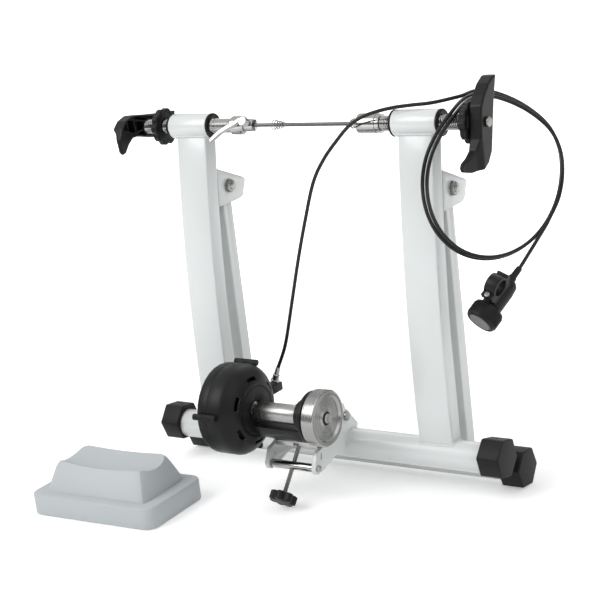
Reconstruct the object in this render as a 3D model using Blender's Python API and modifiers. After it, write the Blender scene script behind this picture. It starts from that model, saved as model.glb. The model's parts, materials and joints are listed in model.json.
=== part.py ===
"""Magnetic bike trainer, folded: a steel stand with two axle clamps, a magnet drum on a small yoke,
a handlebar remote on its cable, and a riser block for the front wheel.

Metres, +Z up. Coordinates are in the trainer's own frame: X runs along the wheel's axle to the trainer's
right, Y to the back, Z up from the floor. X is 0 midway between the uprights and Y is 0 at the axis of the
front base tube. TRAINER_AT places that frame in the world.
"""
import math

import bmesh
import bpy
import numpy as np
from mathutils import Matrix, Vector

NAME = "magnetic_bike_trainer"
TRAINER_AT = Vector((0.0320, 0.0763, 0.0))
GAP = 0.0003
SIDES = {"left": -1, "right": 1}

# Base tubes and their feet
TUBE_R = 0.020
TUBE_WALL = 0.0018
TUBE_HALF = 0.262
FRONT_TUBE = (0.0, 0.0559)
FOOT_ACROSS_FLATS = 0.048
FOOT_GRIP = 0.0206
FOOT_PAST = 0.0105
FOOT_IN = TUBE_HALF - FOOT_GRIP
FOOT_OUT = TUBE_HALF + FOOT_PAST
REAR_FOOT_TURN = -7.5
REAR_TUBE_Y = 0.05407
FOOT_CORNER_R = FOOT_ACROSS_FLATS / math.sqrt(3)
REAR_TUBE = (REAR_TUBE_Y, FOOT_CORNER_R * math.cos(math.radians(30 + REAR_FOOT_TURN)))
FRONT_FOOT_TURN = {"left": 52.1, "right": 45.8}
FOOT_ECCENTRIC = 0.0028

# Axle line: the line through both clamps
AXLE = (0.0231, 0.4865)
BARREL_R = 0.017
BARREL_BORE_R = 0.014
BARREL_IN = 0.1457
BARREL_OUT = 0.2095
BUSH_FLANGE = 0.0025
BUSH_FLANGE_R = 0.0173
SPINDLE_R = 0.0098
SPINDLE_CLEARANCE = 0.0005
BUSH_BORE_R = SPINDLE_R + SPINDLE_CLEARANCE

# Uprights: bowed box tubes
UPRIGHT_X = 0.1765
UPRIGHT_WIDTH = 0.050
UPRIGHT_DEPTH = 0.025
UPRIGHT_CORNER_R = 0.003
BOX_WALL = 0.0015
UPRIGHT_STATIONS = 8

# Rear legs, their brackets and the fold
FOLD = (0.050, 0.3974)
LEG_WIDTH = 0.038
LEG_DEPTH = 0.020
LEG_FOOT_Y = 0.048
LEG_ABOVE_FOLD = 0.010
PLATE = 0.003
BRACKET_OUTLINE = ((0.0235, 0.3734), (0.070, 0.374), (0.080, 0.3765), (0.090, 0.398), (0.086, 0.402), (0.0305, 0.425))
FOLD_BOLT_R = 0.005
FOLD_BOLT_HEAD_R = 0.0092
FOLD_BOLT_HEAD = 0.0055
BOLT_CLEARANCE = 0.0004
SPACER_R = 0.0085
DOT_R = 0.0016
DOT_DEPTH = 0.0015

parts = bpy.data.collections.new(NAME)
cutters = bpy.data.collections.new("cutters")


def clear_scene():
    for obj in list(bpy.data.objects):
        bpy.data.objects.remove(obj, do_unlink=True)
    for collection in (parts, cutters):
        bpy.context.scene.collection.children.link(collection)


def material(name, colour, roughness, metallic=0.0):
    made = bpy.data.materials.new(name)
    made.use_nodes = True
    shader = made.node_tree.nodes["Principled BSDF"]
    shader.inputs["Base Color"].default_value = (*colour, 1.0)
    shader.inputs["Roughness"].default_value = roughness
    shader.inputs["Metallic"].default_value = metallic
    made.diffuse_color = (*colour, 1.0)
    return made


PAINT = material("pale_grey_paint", (0.72, 0.75, 0.75), 0.35)
CHROME = material("chrome", (0.62, 0.62, 0.61), 0.16, 1.0)
ZINC = material("zinc_plate", (0.56, 0.56, 0.53), 0.30, 1.0)
STEEL = material("brushed_steel", (0.60, 0.60, 0.59), 0.28, 1.0)
BLACK = material("black_plastic", (0.018, 0.018, 0.020), 0.42)
RUBBER = material("black_rubber", (0.014, 0.014, 0.014), 0.62)
BLACK_PAINT = material("black_paint", (0.016, 0.016, 0.017), 0.32)
MAGNET = material("magnet_plate", (0.10, 0.10, 0.11), 0.40, 0.8)
BLOCK = material("blue_grey_plastic", (0.50, 0.54, 0.57), 0.55)


def empty(name, at=(0, 0, 0)):
    """An empty at a point of the trainer's frame, which carries the pieces of one moving body."""
    holder = bpy.data.objects.new(name, None)
    parts.objects.link(holder)
    holder.location = TRAINER_AT + Vector(at)
    return holder


def finish(obj, name, finish_material, holder):
    """Names a piece, gives it its material and hangs it on its body's empty, keeping its world place."""
    obj.name = name
    obj.data.name = name
    obj.data.materials.clear()
    obj.data.materials.append(finish_material)
    for polygon in getattr(obj.data, "polygons", []):
        polygon.use_smooth = True
    if obj.type == "MESH":
        obj.data.set_sharp_from_angle(angle=math.radians(35))
    place(obj, holder)
    return obj


def place(obj, holder):
    """Hangs an object, whose mesh is in the trainer's frame, and its cutters on a holder."""
    obj.parent = holder
    obj.matrix_parent_inverse = Matrix.Translation(TRAINER_AT - holder.location)
    for modifier in obj.modifiers:
        if modifier.type == "BOOLEAN":
            place(modifier.object, holder)


def add(name, data):
    obj = bpy.data.objects.new(name, data)
    parts.objects.link(obj)
    return obj


def from_bmesh(name, shape):
    bmesh.ops.recalc_face_normals(shape, faces=shape.faces)
    mesh = bpy.data.meshes.new(name)
    shape.to_mesh(mesh)
    shape.free()
    return add(name, mesh)


def frame_along(direction, up=(0, 0, 1)):
    """A rotation whose Z runs along direction and whose Y leans towards up."""
    z = Vector(direction).normalized()
    y = Vector(up) - Vector(up).dot(z) * z
    if y.length < 1e-6:
        y = Vector((0, 1, 0)) - z.y * z
    y.normalize()
    return Matrix((y.cross(z), y, z)).transposed().to_4x4()


def cylinder(start, end, radius, end_radius=None, sides=20, turn=0.0):
    """A round or many-sided bar between two points."""
    start, end = Vector(start), Vector(end)
    shape = bmesh.new()
    bmesh.ops.create_cone(
        shape,
        cap_ends=True,
        segments=sides,
        radius1=radius,
        radius2=radius if end_radius is None else end_radius,
        depth=(end - start).length,
        matrix=Matrix.Translation((start + end) / 2)
        @ frame_along(end - start)
        @ Matrix.Rotation(math.radians(turn), 4, "Z"),
    )
    return from_bmesh("cylinder", shape)


def along_x(axis, x0, x1, radius, end_radius=None, sides=20):
    """A bar along X, from x0 to x1, about the line at (Y, Z)."""
    return cylinder((x0, *axis), (x1, *axis), radius, end_radius, sides)


def hexagon_x(axis, x0, x1, across_flats, turn=0.0, shift=(0.0, 0.0)):
    """A hexagonal bar along X with a corner at the angle turn, measured from +Y towards +Z."""
    radius = across_flats / math.sqrt(3)
    obj = cylinder((0, 0, x0), (0, 0, x1), radius, sides=6, turn=0.0)
    obj.data.transform(Matrix.Rotation(math.radians(turn + 30), 4, "Z"))
    obj.data.transform(Matrix(((0, 0, 1, 0), (1, 0, 0, axis[0] + shift[0]), (0, 1, 0, axis[1] + shift[1]), (0, 0, 0, 1))))
    return obj


def box(low, high):
    low, high = Vector(low), Vector(high)
    shape = bmesh.new()
    size = Matrix.Diagonal((*(high - low), 1.0))
    bmesh.ops.create_cube(shape, size=1.0, matrix=Matrix.Translation((low + high) / 2) @ size)
    return from_bmesh("box", shape)


def turned(profile, axis, steps=32, direction=(1, 0, 0), start=None):
    """A solid of revolution. The profile is a closed loop of (station along the axis, radius)."""
    origin = Vector(start) if start is not None else Vector((0.0, *axis))
    mesh = bpy.data.meshes.new("profile")
    points = [(radius, 0.0, station) for station, radius in profile]
    edges = [(i, (i + 1) % len(points)) for i in range(len(points))]
    if profile[0][1] == 0.0 and profile[-1][1] == 0.0:
        edges.pop()
    mesh.from_pydata(points, edges, [])
    obj = add("turned", mesh)
    screw = obj.modifiers.new("turn", "SCREW")
    screw.steps = steps
    screw.render_steps = steps
    screw.use_merge_vertices = True
    screw.merge_threshold = 1e-6
    solid = as_mesh(obj)
    shape = bmesh.new()
    shape.from_mesh(solid.data)
    bmesh.ops.recalc_face_normals(shape, faces=shape.faces)
    shape.to_mesh(solid.data)
    shape.free()
    solid.data.transform(Matrix.Translation(origin) @ frame_along(direction))
    return solid


def as_mesh(obj):
    """The evaluated object as a plain mesh object with its caps welded."""
    bpy.context.view_layer.update()
    evaluated = obj.evaluated_get(bpy.context.evaluated_depsgraph_get())
    mesh = bpy.data.meshes.new_from_object(evaluated)
    mesh.transform(obj.matrix_world)
    shape = bmesh.new()
    shape.from_mesh(mesh)
    bmesh.ops.remove_doubles(shape, verts=shape.verts, dist=1e-6)
    bmesh.ops.recalc_face_normals(shape, faces=shape.faces)
    shape.to_mesh(mesh)
    shape.free()
    bpy.data.objects.remove(obj, do_unlink=True)
    return add("solid", mesh)


def outline(points, x0, x1, bevel=0.0):
    """A flat plate between x0 and x1 with an outline of (Y, Z) points, its rims rounded by bevel."""
    curve = bpy.data.curves.new("outline", "CURVE")
    curve.dimensions = "2D"
    curve.fill_mode = "BOTH"
    spline = curve.splines.new("POLY")
    spline.points.add(len(points) - 1)
    for point, (y, z) in zip(spline.points, points):
        point.co = (y, z, 0, 1)
    spline.use_cyclic_u = True
    curve.extrude = abs(x1 - x0) / 2 - bevel
    curve.bevel_depth = bevel
    curve.bevel_resolution = 1
    curve.offset = -bevel
    solid = as_mesh(add("outline", curve))
    middle = (x0 + x1) / 2
    solid.data.transform(Matrix(((0, 0, 1, middle), (1, 0, 0, 0), (0, 1, 0, 0), (0, 0, 0, 1))))
    return solid


def tube_along(points, radius, resolution=2):
    """A round tube through the points, with flat ends."""
    curve = bpy.data.curves.new("tube", "CURVE")
    curve.dimensions = "3D"
    curve.twist_mode = "MINIMUM"
    spline = curve.splines.new("POLY")
    spline.points.add(len(points) - 1)
    for point, at in zip(spline.points, points):
        point.co = (*at, 1)
    curve.bevel_depth = radius
    curve.bevel_resolution = resolution
    curve.use_fill_caps = True
    return as_mesh(add("tube", curve))


def boolean(obj, others, operation):
    """Cuts or joins other shapes with a Boolean on obj. The other shapes go to the cutters."""
    for other in others:
        modifier = obj.modifiers.new(operation.lower(), "BOOLEAN")
        modifier.operation = operation
        modifier.solver = "EXACT"
        modifier.object = other
        other.name = "cutter"
        other.hide_render = True
        other.display_type = "WIRE"
        for collection in list(other.users_collection):
            collection.objects.unlink(other)
        cutters.objects.link(other)
    return obj


def cut(obj, *others):
    return boolean(obj, others, "DIFFERENCE")


def join(obj, *others):
    return boolean(obj, others, "UNION")


def moved(obj, matrix):
    obj.data.transform(matrix)
    return obj


def arc(centre, radius, start, end, count):
    """Points of an arc in the (Y, Z) plane, by angles in degrees from +Y towards +Z."""
    angles = np.radians(np.linspace(start, end, count))
    return [(centre[0] + radius * math.cos(a), centre[1] + radius * math.sin(a)) for a in angles]


def ring(x0, x1, outer, inner):
    """The profile of a plain ring."""
    return [(x0, inner), (x0, outer), (x1, outer), (x1, inner)]


def disc(x0, x1, radius):
    """The profile of a plain solid disc."""
    return [(x0, 0.0), (x0, radius), (x1, radius), (x1, 0.0)]


def upright_centre(height):
    """Y of an upright's centre line at a height above the front base tube's axis."""
    return 0.00116 - 0.039 * height + 0.227 * height * height


def upright_outline(depth, low, high):
    heights = np.linspace(low, high, UPRIGHT_STATIONS)
    back = [(upright_centre(h) + depth / 2, h + FRONT_TUBE[1]) for h in heights]
    front = [(upright_centre(h) - depth / 2, h + FRONT_TUBE[1]) for h in heights[::-1]]
    return back + front


def upright_back(z):
    return upright_centre(z - FRONT_TUBE[1]) + UPRIGHT_DEPTH / 2


def span(side, inner, outer):
    """The X range of a piece between two distances from the mid-plane, on one side."""
    return sorted((SIDES[side] * inner, SIDES[side] * outer))


def base_tubes(root, rear):
    """The two round base tubes. The drum's arms are welded to the front one."""
    front = turned(disc(-TUBE_HALF, TUBE_HALF, TUBE_R), FRONT_TUBE)
    join(front, arm("left"), arm("right"))
    bore = along_x(FRONT_TUBE, -TUBE_HALF - PLATE, TUBE_HALF + PLATE, TUBE_R - TUBE_WALL, sides=32)
    finish(cut(front, bore), "front_base_tube", PAINT, root)
    back = turned(ring(-TUBE_HALF, TUBE_HALF, TUBE_R, TUBE_R - TUBE_WALL), REAR_TUBE)
    finish(back, "rear_base_tube", PAINT, rear)


def foot(side, axis, turn, eccentric):
    """A hexagonal end cap with a blind bore, which sits over the tube's end."""
    bore_r = TUBE_R + GAP
    towards = math.radians(turn + 30)
    shift = (eccentric * math.cos(towards), eccentric * math.sin(towards))
    x0, x1 = span(side, FOOT_IN, FOOT_OUT)
    cap = hexagon_x(axis, x0, x1, FOOT_ACROSS_FLATS, turn, shift)
    edge = cap.modifiers.new("edge", "BEVEL")
    edge.width = 0.0012
    edge.segments = 1
    edge.limit_method = "ANGLE"
    mouth, floor = span(side, FOOT_IN - 0.005, TUBE_HALF + GAP)
    cut(cap, along_x(axis, mouth, floor, bore_r, sides=32))
    if eccentric:
        top = Vector((SIDES[side] * (FOOT_IN + FOOT_OUT) / 2, axis[0] + shift[0], axis[1] + shift[1]))
        out = Vector((0, math.cos(towards), math.sin(towards)))
        middle = top + out * FOOT_ACROSS_FLATS / 2
        cut(cap, cylinder(middle - out * DOT_DEPTH, middle + out * DOT_DEPTH, DOT_R, sides=16))
    return cap


def feet(holders):
    for side in SIDES:
        front = foot(side, FRONT_TUBE, FRONT_FOOT_TURN[side], FOOT_ECCENTRIC)
        finish(front, f"{side}_front_foot", RUBBER, holders[f"{side}_front_foot"])
        rear = foot(side, REAR_TUBE, REAR_FOOT_TURN, 0.0)
        finish(rear, f"{side}_rear_foot", RUBBER, holders["rear_frame"])


def upright(side, root):
    """A bowed box tube, coped round the base tube and the axle barrel."""
    x0, x1 = span(side, UPRIGHT_X - UPRIGHT_WIDTH / 2, UPRIGHT_X + UPRIGHT_WIDTH / 2)
    top = AXLE[1] - FRONT_TUBE[1]
    shell = outline(upright_outline(UPRIGHT_DEPTH, 0.0, top), x0, x1, UPRIGHT_CORNER_R)
    inside = outline(
        upright_outline(UPRIGHT_DEPTH - 2 * BOX_WALL, -TUBE_R, top + BARREL_R), x0 + BOX_WALL, x1 - BOX_WALL
    )
    base_cope = along_x(FRONT_TUBE, x0 - TUBE_R, x1 + TUBE_R, TUBE_R + GAP, sides=32)
    barrel_cope = along_x(AXLE, x0 - TUBE_R, x1 + TUBE_R, BARREL_R + GAP, sides=32)
    cut(shell, inside, base_cope, barrel_cope)
    finish(shell, f"{side}_upright", PAINT, root)


def barrel(side, root):
    """The steel tube that the axle clamp's spindle runs through, and its plastic bush."""
    x0, x1 = span(side, BARREL_IN, BARREL_OUT)
    finish(turned(ring(x0, x1, BARREL_R, BARREL_BORE_R), AXLE, 24), f"{side}_barrel", PAINT, root)
    end0, end1 = x0 - GAP - BUSH_FLANGE, x1 + GAP + BUSH_FLANGE
    sleeve_r = BARREL_BORE_R - GAP
    profile = [
        (end0, BUSH_BORE_R),
        (end0, BUSH_FLANGE_R),
        (end0 + BUSH_FLANGE, BUSH_FLANGE_R),
        (end0 + BUSH_FLANGE, sleeve_r),
        (end1 - BUSH_FLANGE, sleeve_r),
        (end1 - BUSH_FLANGE, BUSH_FLANGE_R),
        (end1, BUSH_FLANGE_R),
        (end1, BUSH_BORE_R),
    ]
    finish(turned(profile, AXLE, 20), f"{side}_barrel_bush", BLACK, root)


def bracket(side, root):
    """A pressed U behind the upright, whose cheeks carry the rear leg."""
    half = UPRIGHT_WIDTH / 2 - GAP
    x0, x1 = span(side, UPRIGHT_X - half, UPRIGHT_X + half)
    lowest, highest = BRACKET_OUTLINE[0][1], BRACKET_OUTLINE[-1][1]
    levels = np.linspace(highest, lowest, 4)
    web = [(upright_back(z) + GAP, z) for z in levels]
    plate = outline(web + list(BRACKET_OUTLINE[1:-1]), x0, x1)
    inner = [(upright_back(z) + GAP + PLATE, z) for z in (highest + PLATE, *levels, lowest - PLATE)]
    far = BRACKET_OUTLINE[3][0] + PLATE
    pocket = outline(inner + [(far, lowest - PLATE), (far, highest + PLATE)], x0 + PLATE, x1 - PLATE)
    hole = along_x(FOLD, x0 - PLATE, x1 + PLATE, FOLD_BOLT_R + BOLT_CLEARANCE, sides=14)
    cut(plate, pocket, hole)
    finish(plate, f"{side}_bracket", PAINT, root)


def rear_leg(side, rear):
    """A straight box tube from the fold bolt to the rear base tube."""
    x0, x1 = span(side, UPRIGHT_X - LEG_WIDTH / 2, UPRIGHT_X + LEG_WIDTH / 2)
    top = FOLD[1] + LEG_ABOVE_FOLD

    def strip(depth, low, high):
        slope = (FOLD[0] - LEG_FOOT_Y) / (FOLD[1] - REAR_TUBE[1])
        centre = [(FOLD[0] + slope * (z - FOLD[1]), z) for z in (low, high)]
        (yl, zl), (yh, zh) = centre
        return [(yl + depth / 2, zl), (yh + depth / 2, zh), (yh - depth / 2, zh), (yl - depth / 2, zl)]

    leg = outline(strip(LEG_DEPTH, REAR_TUBE[1], top), x0, x1, BOX_WALL)
    inside = outline(
        strip(LEG_DEPTH - 2 * BOX_WALL, REAR_TUBE[1] - TUBE_R, top - BOX_WALL), x0 + BOX_WALL, x1 - BOX_WALL
    )
    cope = along_x(REAR_TUBE, x0 - TUBE_R, x1 + TUBE_R, TUBE_R + GAP, sides=32)
    hole = along_x(FOLD, x0 - PLATE, x1 + PLATE, FOLD_BOLT_R + BOLT_CLEARANCE, sides=14)
    cut(leg, inside, cope, hole)
    finish(leg, f"{side}_rear_leg", PAINT, rear)


def fold_bolt(side, root):
    """The bolt that the rear leg swings on, with its nut and the two spacers between leg and cheeks."""
    half = UPRIGHT_WIDTH / 2 - GAP
    x0, x1 = span(side, UPRIGHT_X - half, UPRIGHT_X + half)
    bolt = along_x(FOLD, x0 - FOLD_BOLT_HEAD / 2, x1 + FOLD_BOLT_HEAD / 2, FOLD_BOLT_R, sides=12)
    corner = FOLD_BOLT_HEAD_R * math.sqrt(3)
    heads = [
        hexagon_x(FOLD, x0 - GAP - FOLD_BOLT_HEAD, x0 - GAP, corner, 10),
        hexagon_x(FOLD, x1 + GAP, x1 + GAP + FOLD_BOLT_HEAD, corner, 25),
    ]
    leg0, leg1 = span(side, UPRIGHT_X - LEG_WIDTH / 2, UPRIGHT_X + LEG_WIDTH / 2)
    spacers = [
        along_x(FOLD, x0 + PLATE + GAP, leg0 - GAP, SPACER_R, sides=12),
        along_x(FOLD, leg1 + GAP, x1 - PLATE - GAP, SPACER_R, sides=12),
    ]
    join(bolt, *heads, *spacers)
    finish(bolt, f"{side}_fold_bolt", ZINC, root)



# Axle clamps, by distance from the mid-plane
CUP_IN = {"left": 0.089, "right": 0.0885}
CUP_OUT = {"left": 0.1085, "right": 0.119}
CUP_R = {"left": 0.0125, "right": 0.013}
CUP_MOUTH_R = 0.009
CUP_CHAMFER = 0.0035
CUP_HOLLOW_R = 0.0078
CUP_HOLLOW = 0.009
COLLAR_WIDTH = 0.006
COLLAR_R = 0.0123
CUP_STEM_END = 0.1405
KNOB_IN = {"left": 0.224, "right": 0.2465}
KNOB_R = {"left": 0.0255, "right": 0.0265}
KNOB_WIDTH = 0.0088
KNOB_SCALLOPS = 10
KNOB_DIP = 0.0022
LEVER_IN = 0.256
LEVER_DEPTH = 0.017
LEVER_OUT = LEVER_IN + LEVER_DEPTH
LEVER_WALL = 0.003
LEVER_WEB = 0.004
LEVER_TURN = {"left": 112.0, "right": 0.0}
LEVER_TIP_THICK = 0.005
# The hook is not hollow beyond this
LEVER_SOLID_END = ((-0.0150, -0.020), (-0.080, -0.020), (-0.080, -0.080), (-0.0150, -0.080))
LEVER_HUB_R = 0.0125
LEVER_RIB = 0.0022
LEVER_RIBS = (
    ((0.030, 0.050), (0.0, 0.0)),
    ((0.0, 0.0), (-0.0265, -0.0475)),
    ((0.0, -0.052), (0.006, -0.010)),
    ((-0.020, -0.022), (0.012, -0.038)),
)
SCREW_HEAD = 0.0045
SCREW_HEAD_R = 0.0065
SCREW_R = 0.003
# The lever seen from outside, as (across, up) from the axle
LEVER_OUTLINE = (
    (0.0340, 0.0525), (0.0260, 0.0524), (0.0120, 0.0450), (-0.0010, 0.0330), (-0.0105, 0.0215),
    (-0.0140, 0.0050), (-0.0170, -0.0178), (-0.0220, -0.0310), (-0.0330, -0.0380), (-0.0450, -0.0420),
    (-0.0490, -0.0470), (-0.0460, -0.0530), (-0.0300, -0.0570), (-0.0140, -0.0560), (-0.0020, -0.0500),
    (0.0080, -0.0380), (0.0120, -0.0237), (0.0179, 0.0006), (0.0245, 0.0248),
)


def cup(side, holder):
    """The conical nose that holds the skewer's end, with a threaded stem for the spindle."""
    sign = SIDES[side]
    inner, outer, radius = CUP_IN[side], CUP_OUT[side], CUP_R[side]
    stem_r = SPINDLE_R
    end = outer + (COLLAR_WIDTH if side == "right" else 0.0)
    profile = [
        (inner + CUP_HOLLOW, 0.0),
        (inner + CUP_HOLLOW, CUP_HOLLOW_R),
        (inner, CUP_HOLLOW_R + 0.0006),
        (inner, CUP_MOUTH_R),
        (inner + CUP_CHAMFER, radius),
        (outer, radius),
    ]
    if side == "right":
        profile += [(outer, COLLAR_R), (end, COLLAR_R)]
    profile += [(end, stem_r), (CUP_STEM_END, stem_r), (CUP_STEM_END, 0.0)]
    piece = turned([(sign * x, r) for x, r in profile], AXLE, 20)
    finish(piece, f"{side}_cup", CHROME, holder)


def spindle(side, holder):
    """The threaded bar through the barrel, which the lever turns."""
    start, end = span(side, CUP_STEM_END + GAP, LEVER_IN + LEVER_WEB)
    bar = along_x(AXLE, start, end, SPINDLE_R, sides=24)
    hole = span(side, LEVER_IN - 0.008, LEVER_IN + LEVER_WEB + 0.001)
    cut(bar, along_x(AXLE, *hole, SCREW_R + GAP, sides=16))
    finish(bar, f"{side}_spindle", CHROME, holder)


def lock_knob(side, holder):
    """A scalloped nut on the spindle, which locks it against the barrel."""
    x0, x1 = span(side, KNOB_IN[side], KNOB_IN[side] + KNOB_WIDTH)
    radius = KNOB_R[side]
    rim = []
    for i in range(KNOB_SCALLOPS):
        middle = 360.0 / KNOB_SCALLOPS * i
        half = 360.0 / KNOB_SCALLOPS / 2
        rim += arc(AXLE, radius, middle - half * 0.40, middle + half * 0.40, 2)
        rim += arc(AXLE, radius - KNOB_DIP, middle + half * 0.78, middle + half * 1.22, 2)
    knob = outline(rim, x0, x1)
    cut(knob, along_x(AXLE, x0 - PLATE, x1 + PLATE, SPINDLE_R + GAP, sides=24))
    finish(knob, f"{side}_lock_knob", BLACK, holder)


def lever_point(side, across, up):
    """A point of the lever's outside view as (Y, Z), with the lever turned as it rests."""
    turn = math.radians(LEVER_TURN[side])
    h = across * math.cos(turn) - up * math.sin(turn)
    v = across * math.sin(turn) + up * math.cos(turn)
    return (AXLE[0] + SIDES[side] * h, AXLE[1] + v)


def inset(points, distance):
    """The outline drawn in by a distance, by moving each point along its two sides' mean normal."""
    drawn = []
    for i, here in enumerate(points):
        before, after = Vector(points[i - 1]), Vector(points[(i + 1) % len(points)])
        along = (after - before).normalized()
        drawn.append((here[0] - along.y * distance, here[1] + along.x * distance))
    return drawn


def lever(side, holder):
    """A cast lever: a curved web with a rim, hollow towards the upright and ribbed inside."""
    sign = SIDES[side]
    inner, outer = LEVER_IN, LEVER_OUT
    body = outline([lever_point(side, *p) for p in LEVER_OUTLINE], sign * inner, sign * outer)
    hollow = inset(LEVER_OUTLINE, LEVER_WALL)
    floor = outer - LEVER_WEB
    pocket = outline([lever_point(side, *p) for p in hollow], sign * (inner - PLATE), sign * floor)
    ribs = []
    for low, high in LEVER_RIBS:
        across = (Vector(high) - Vector(low)).normalized() * LEVER_RIB / 2
        side_step = Vector((-across.y, across.x))
        corners = [Vector(low) + side_step, Vector(low) - side_step, Vector(high) - side_step, Vector(high) + side_step]
        ribs.append(outline([lever_point(side, *c) for c in corners], sign * (inner - 2 * PLATE), sign * outer))
    hub = along_x(AXLE, sign * (inner - 2 * PLATE), sign * outer, LEVER_HUB_R, sides=20)
    solid = [lever_point(side, *p) for p in LEVER_SOLID_END]
    hook = outline(solid, sign * (inner - 2 * PLATE), sign * outer)
    cut(pocket, hub, hook, *ribs)
    taper = []
    for x, u in ((outer + PLATE, -0.012), (outer + PLATE, -0.062), (inner + LEVER_TIP_THICK, -0.062),
                 (inner + LEVER_TIP_THICK, -0.044), (outer - 0.006, -0.022)):
        taper.append((x, u))
    slope = lever_taper(side, taper)
    bore = along_x(AXLE, *span(side, inner - PLATE, inner + LEVER_WEB + GAP), SPINDLE_R + GAP, sides=24)
    screw = along_x(AXLE, *span(side, inner, outer + PLATE), SCREW_R + GAP, sides=16)
    cut(body, pocket, slope, bore, screw)
    finish(body, f"{side}_lever", BLACK_PAINT, holder)


def lever_taper(side, section):
    """The cutter that slopes the hook's outer face down to its tip. The section is (X, across)."""
    sign = SIDES[side]
    shape = bmesh.new()
    rows = []
    for up in (-0.070, -0.020):
        row = []
        for x, across in section:
            y, z = lever_point(side, across, up)
            row.append(shape.verts.new((sign * x, y, z)))
        rows.append(row)
    count = len(section)
    shape.faces.new(rows[0])
    shape.faces.new(rows[1][::-1])
    for i in range(count):
        j = (i + 1) % count
        shape.faces.new((rows[0][i], rows[0][j], rows[1][j], rows[1][i]))
    return from_bmesh("taper", shape)


def lever_screw(side, holder):
    """The screw that holds the lever on its spindle."""
    sign = SIDES[side]
    profile = [
        (LEVER_IN - 0.007, 0.0),
        (LEVER_IN - 0.007, SCREW_R),
        (LEVER_OUT + GAP, SCREW_R),
        (LEVER_OUT + GAP, SCREW_HEAD_R),
        (LEVER_OUT + SCREW_HEAD - 0.001, SCREW_HEAD_R),
        (LEVER_OUT + SCREW_HEAD, SCREW_HEAD_R - 0.001),
        (LEVER_OUT + SCREW_HEAD, 0.0),
    ]
    piece = turned([(sign * x, r) for x, r in profile], AXLE, 14)
    finish(piece, f"{side}_lever_screw", ZINC, holder)


# Quick-release skewer, by X
SKEWER_R = 0.0025
SKEWER_HEAD = (-0.0965, -0.074)
SKEWER_HEAD_R = 0.0085
SKEWER_STEM_R = 0.0072
SKEWER_END = 0.0945
SKEWER_NUT = (0.0835, 0.0955)
SKEWER_NUT_R = 0.0063
CAM_X = -0.0815
CAM_R = 0.0030
CAM_NORMAL = Vector((0.0, -0.888, 0.46))
CAM_DROOP = Vector((0.0, -0.46, -0.888))
QR_PLANE = 0.0174
QR_THICK = 0.0055
QR_WIDTH = 0.0062
QR_HUB_R = 0.0065
# The cam lever's blade, as (outwards, drooping) from the cam's pin
QR_BLADE = ((0.0, 0.0), (0.006, -0.002), (0.0125, 0.0025), (0.0235, 0.0079), (0.0345, 0.0142), (0.0425, 0.0209), (0.0495, 0.0276))
SPRINGS = {"left": (-0.0438, -0.0261, 5.0), "right": (0.0774, 0.0828, 3.0)}
SPRING_WIRE_R = 0.00055
SPRING_WIDE_R = 0.0068
SPRING_NARROW_R = 0.0036
SPRING_POINTS = 8


def skewer(holder):
    """The rod between the cups, with the cam head on its left end."""
    x0, x1 = SKEWER_HEAD
    seat = -CUP_IN["left"]
    profile = [
        (x0, 0.0),
        (x0, SKEWER_STEM_R),
        (seat + GAP, SKEWER_STEM_R),
        (seat + GAP, SKEWER_HEAD_R),
        (x1 - 0.001, SKEWER_HEAD_R),
        (x1, SKEWER_HEAD_R - 0.001),
        (x1, SKEWER_R),
        (SKEWER_END, SKEWER_R),
        (SKEWER_END, 0.0),
    ]
    rod = turned(profile, AXLE, 16)
    middle = Vector((CAM_X, *AXLE))
    reach = CAM_NORMAL * (SKEWER_HEAD_R + 0.004)
    cut(rod, cylinder(middle - reach, middle + reach, CAM_R + GAP, sides=14))
    finish(rod, "skewer", CHROME, holder)


def qr_point(outwards, droop, off):
    return Vector((CAM_X - outwards, *AXLE)) + CAM_DROOP * droop + CAM_NORMAL * off


def qr_lever(holder):
    """The cam lever: a pin through the skewer's head and a curved blade in front of it."""
    pin = cylinder(qr_point(0, 0, -SKEWER_HEAD_R), qr_point(0, 0, QR_PLANE), CAM_R, sides=14)
    low, high = QR_PLANE - QR_THICK / 2, QR_PLANE + QR_THICK / 2
    hub = cylinder(qr_point(0, 0, low - 0.004), qr_point(0, 0, high), QR_HUB_R, sides=18)
    left, right = [], []
    for i, (out, droop) in enumerate(QR_BLADE):
        before = Vector(QR_BLADE[max(i - 1, 0)])
        after = Vector(QR_BLADE[min(i + 1, len(QR_BLADE) - 1)])
        along = (after - before).normalized()
        half = QR_WIDTH / 2 * (0.8 if i == len(QR_BLADE) - 1 else 1.0)
        left.append((out - along.y * half, droop + along.x * half))
        right.append((out + along.y * half, droop - along.x * half))
    edge = left + right[::-1]
    shape = bmesh.new()
    faces = []
    for off in (low, high):
        faces.append([shape.verts.new(qr_point(*p, off)) for p in edge])
    shape.faces.new(faces[0])
    shape.faces.new(faces[1][::-1])
    for i in range(len(edge)):
        j = (i + 1) % len(edge)
        shape.faces.new((faces[0][i], faces[0][j], faces[1][j], faces[1][i]))
    blade = from_bmesh("blade", shape)
    join(pin, hub, blade)
    finish(pin, "qr_lever", CHROME, holder)


def skewer_nut(holder):
    """The nut on the skewer's right end, inside the right cup's mouth."""
    x0, x1 = SKEWER_NUT
    bore = SKEWER_R + GAP
    edge = 0.001
    profile = [(x0, bore), (x0, SKEWER_NUT_R - edge), (x0 + edge, SKEWER_NUT_R), (x1, SKEWER_NUT_R), (x1, bore)]
    finish(turned(profile, AXLE, 20), "skewer_nut", CHROME, holder)


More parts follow.
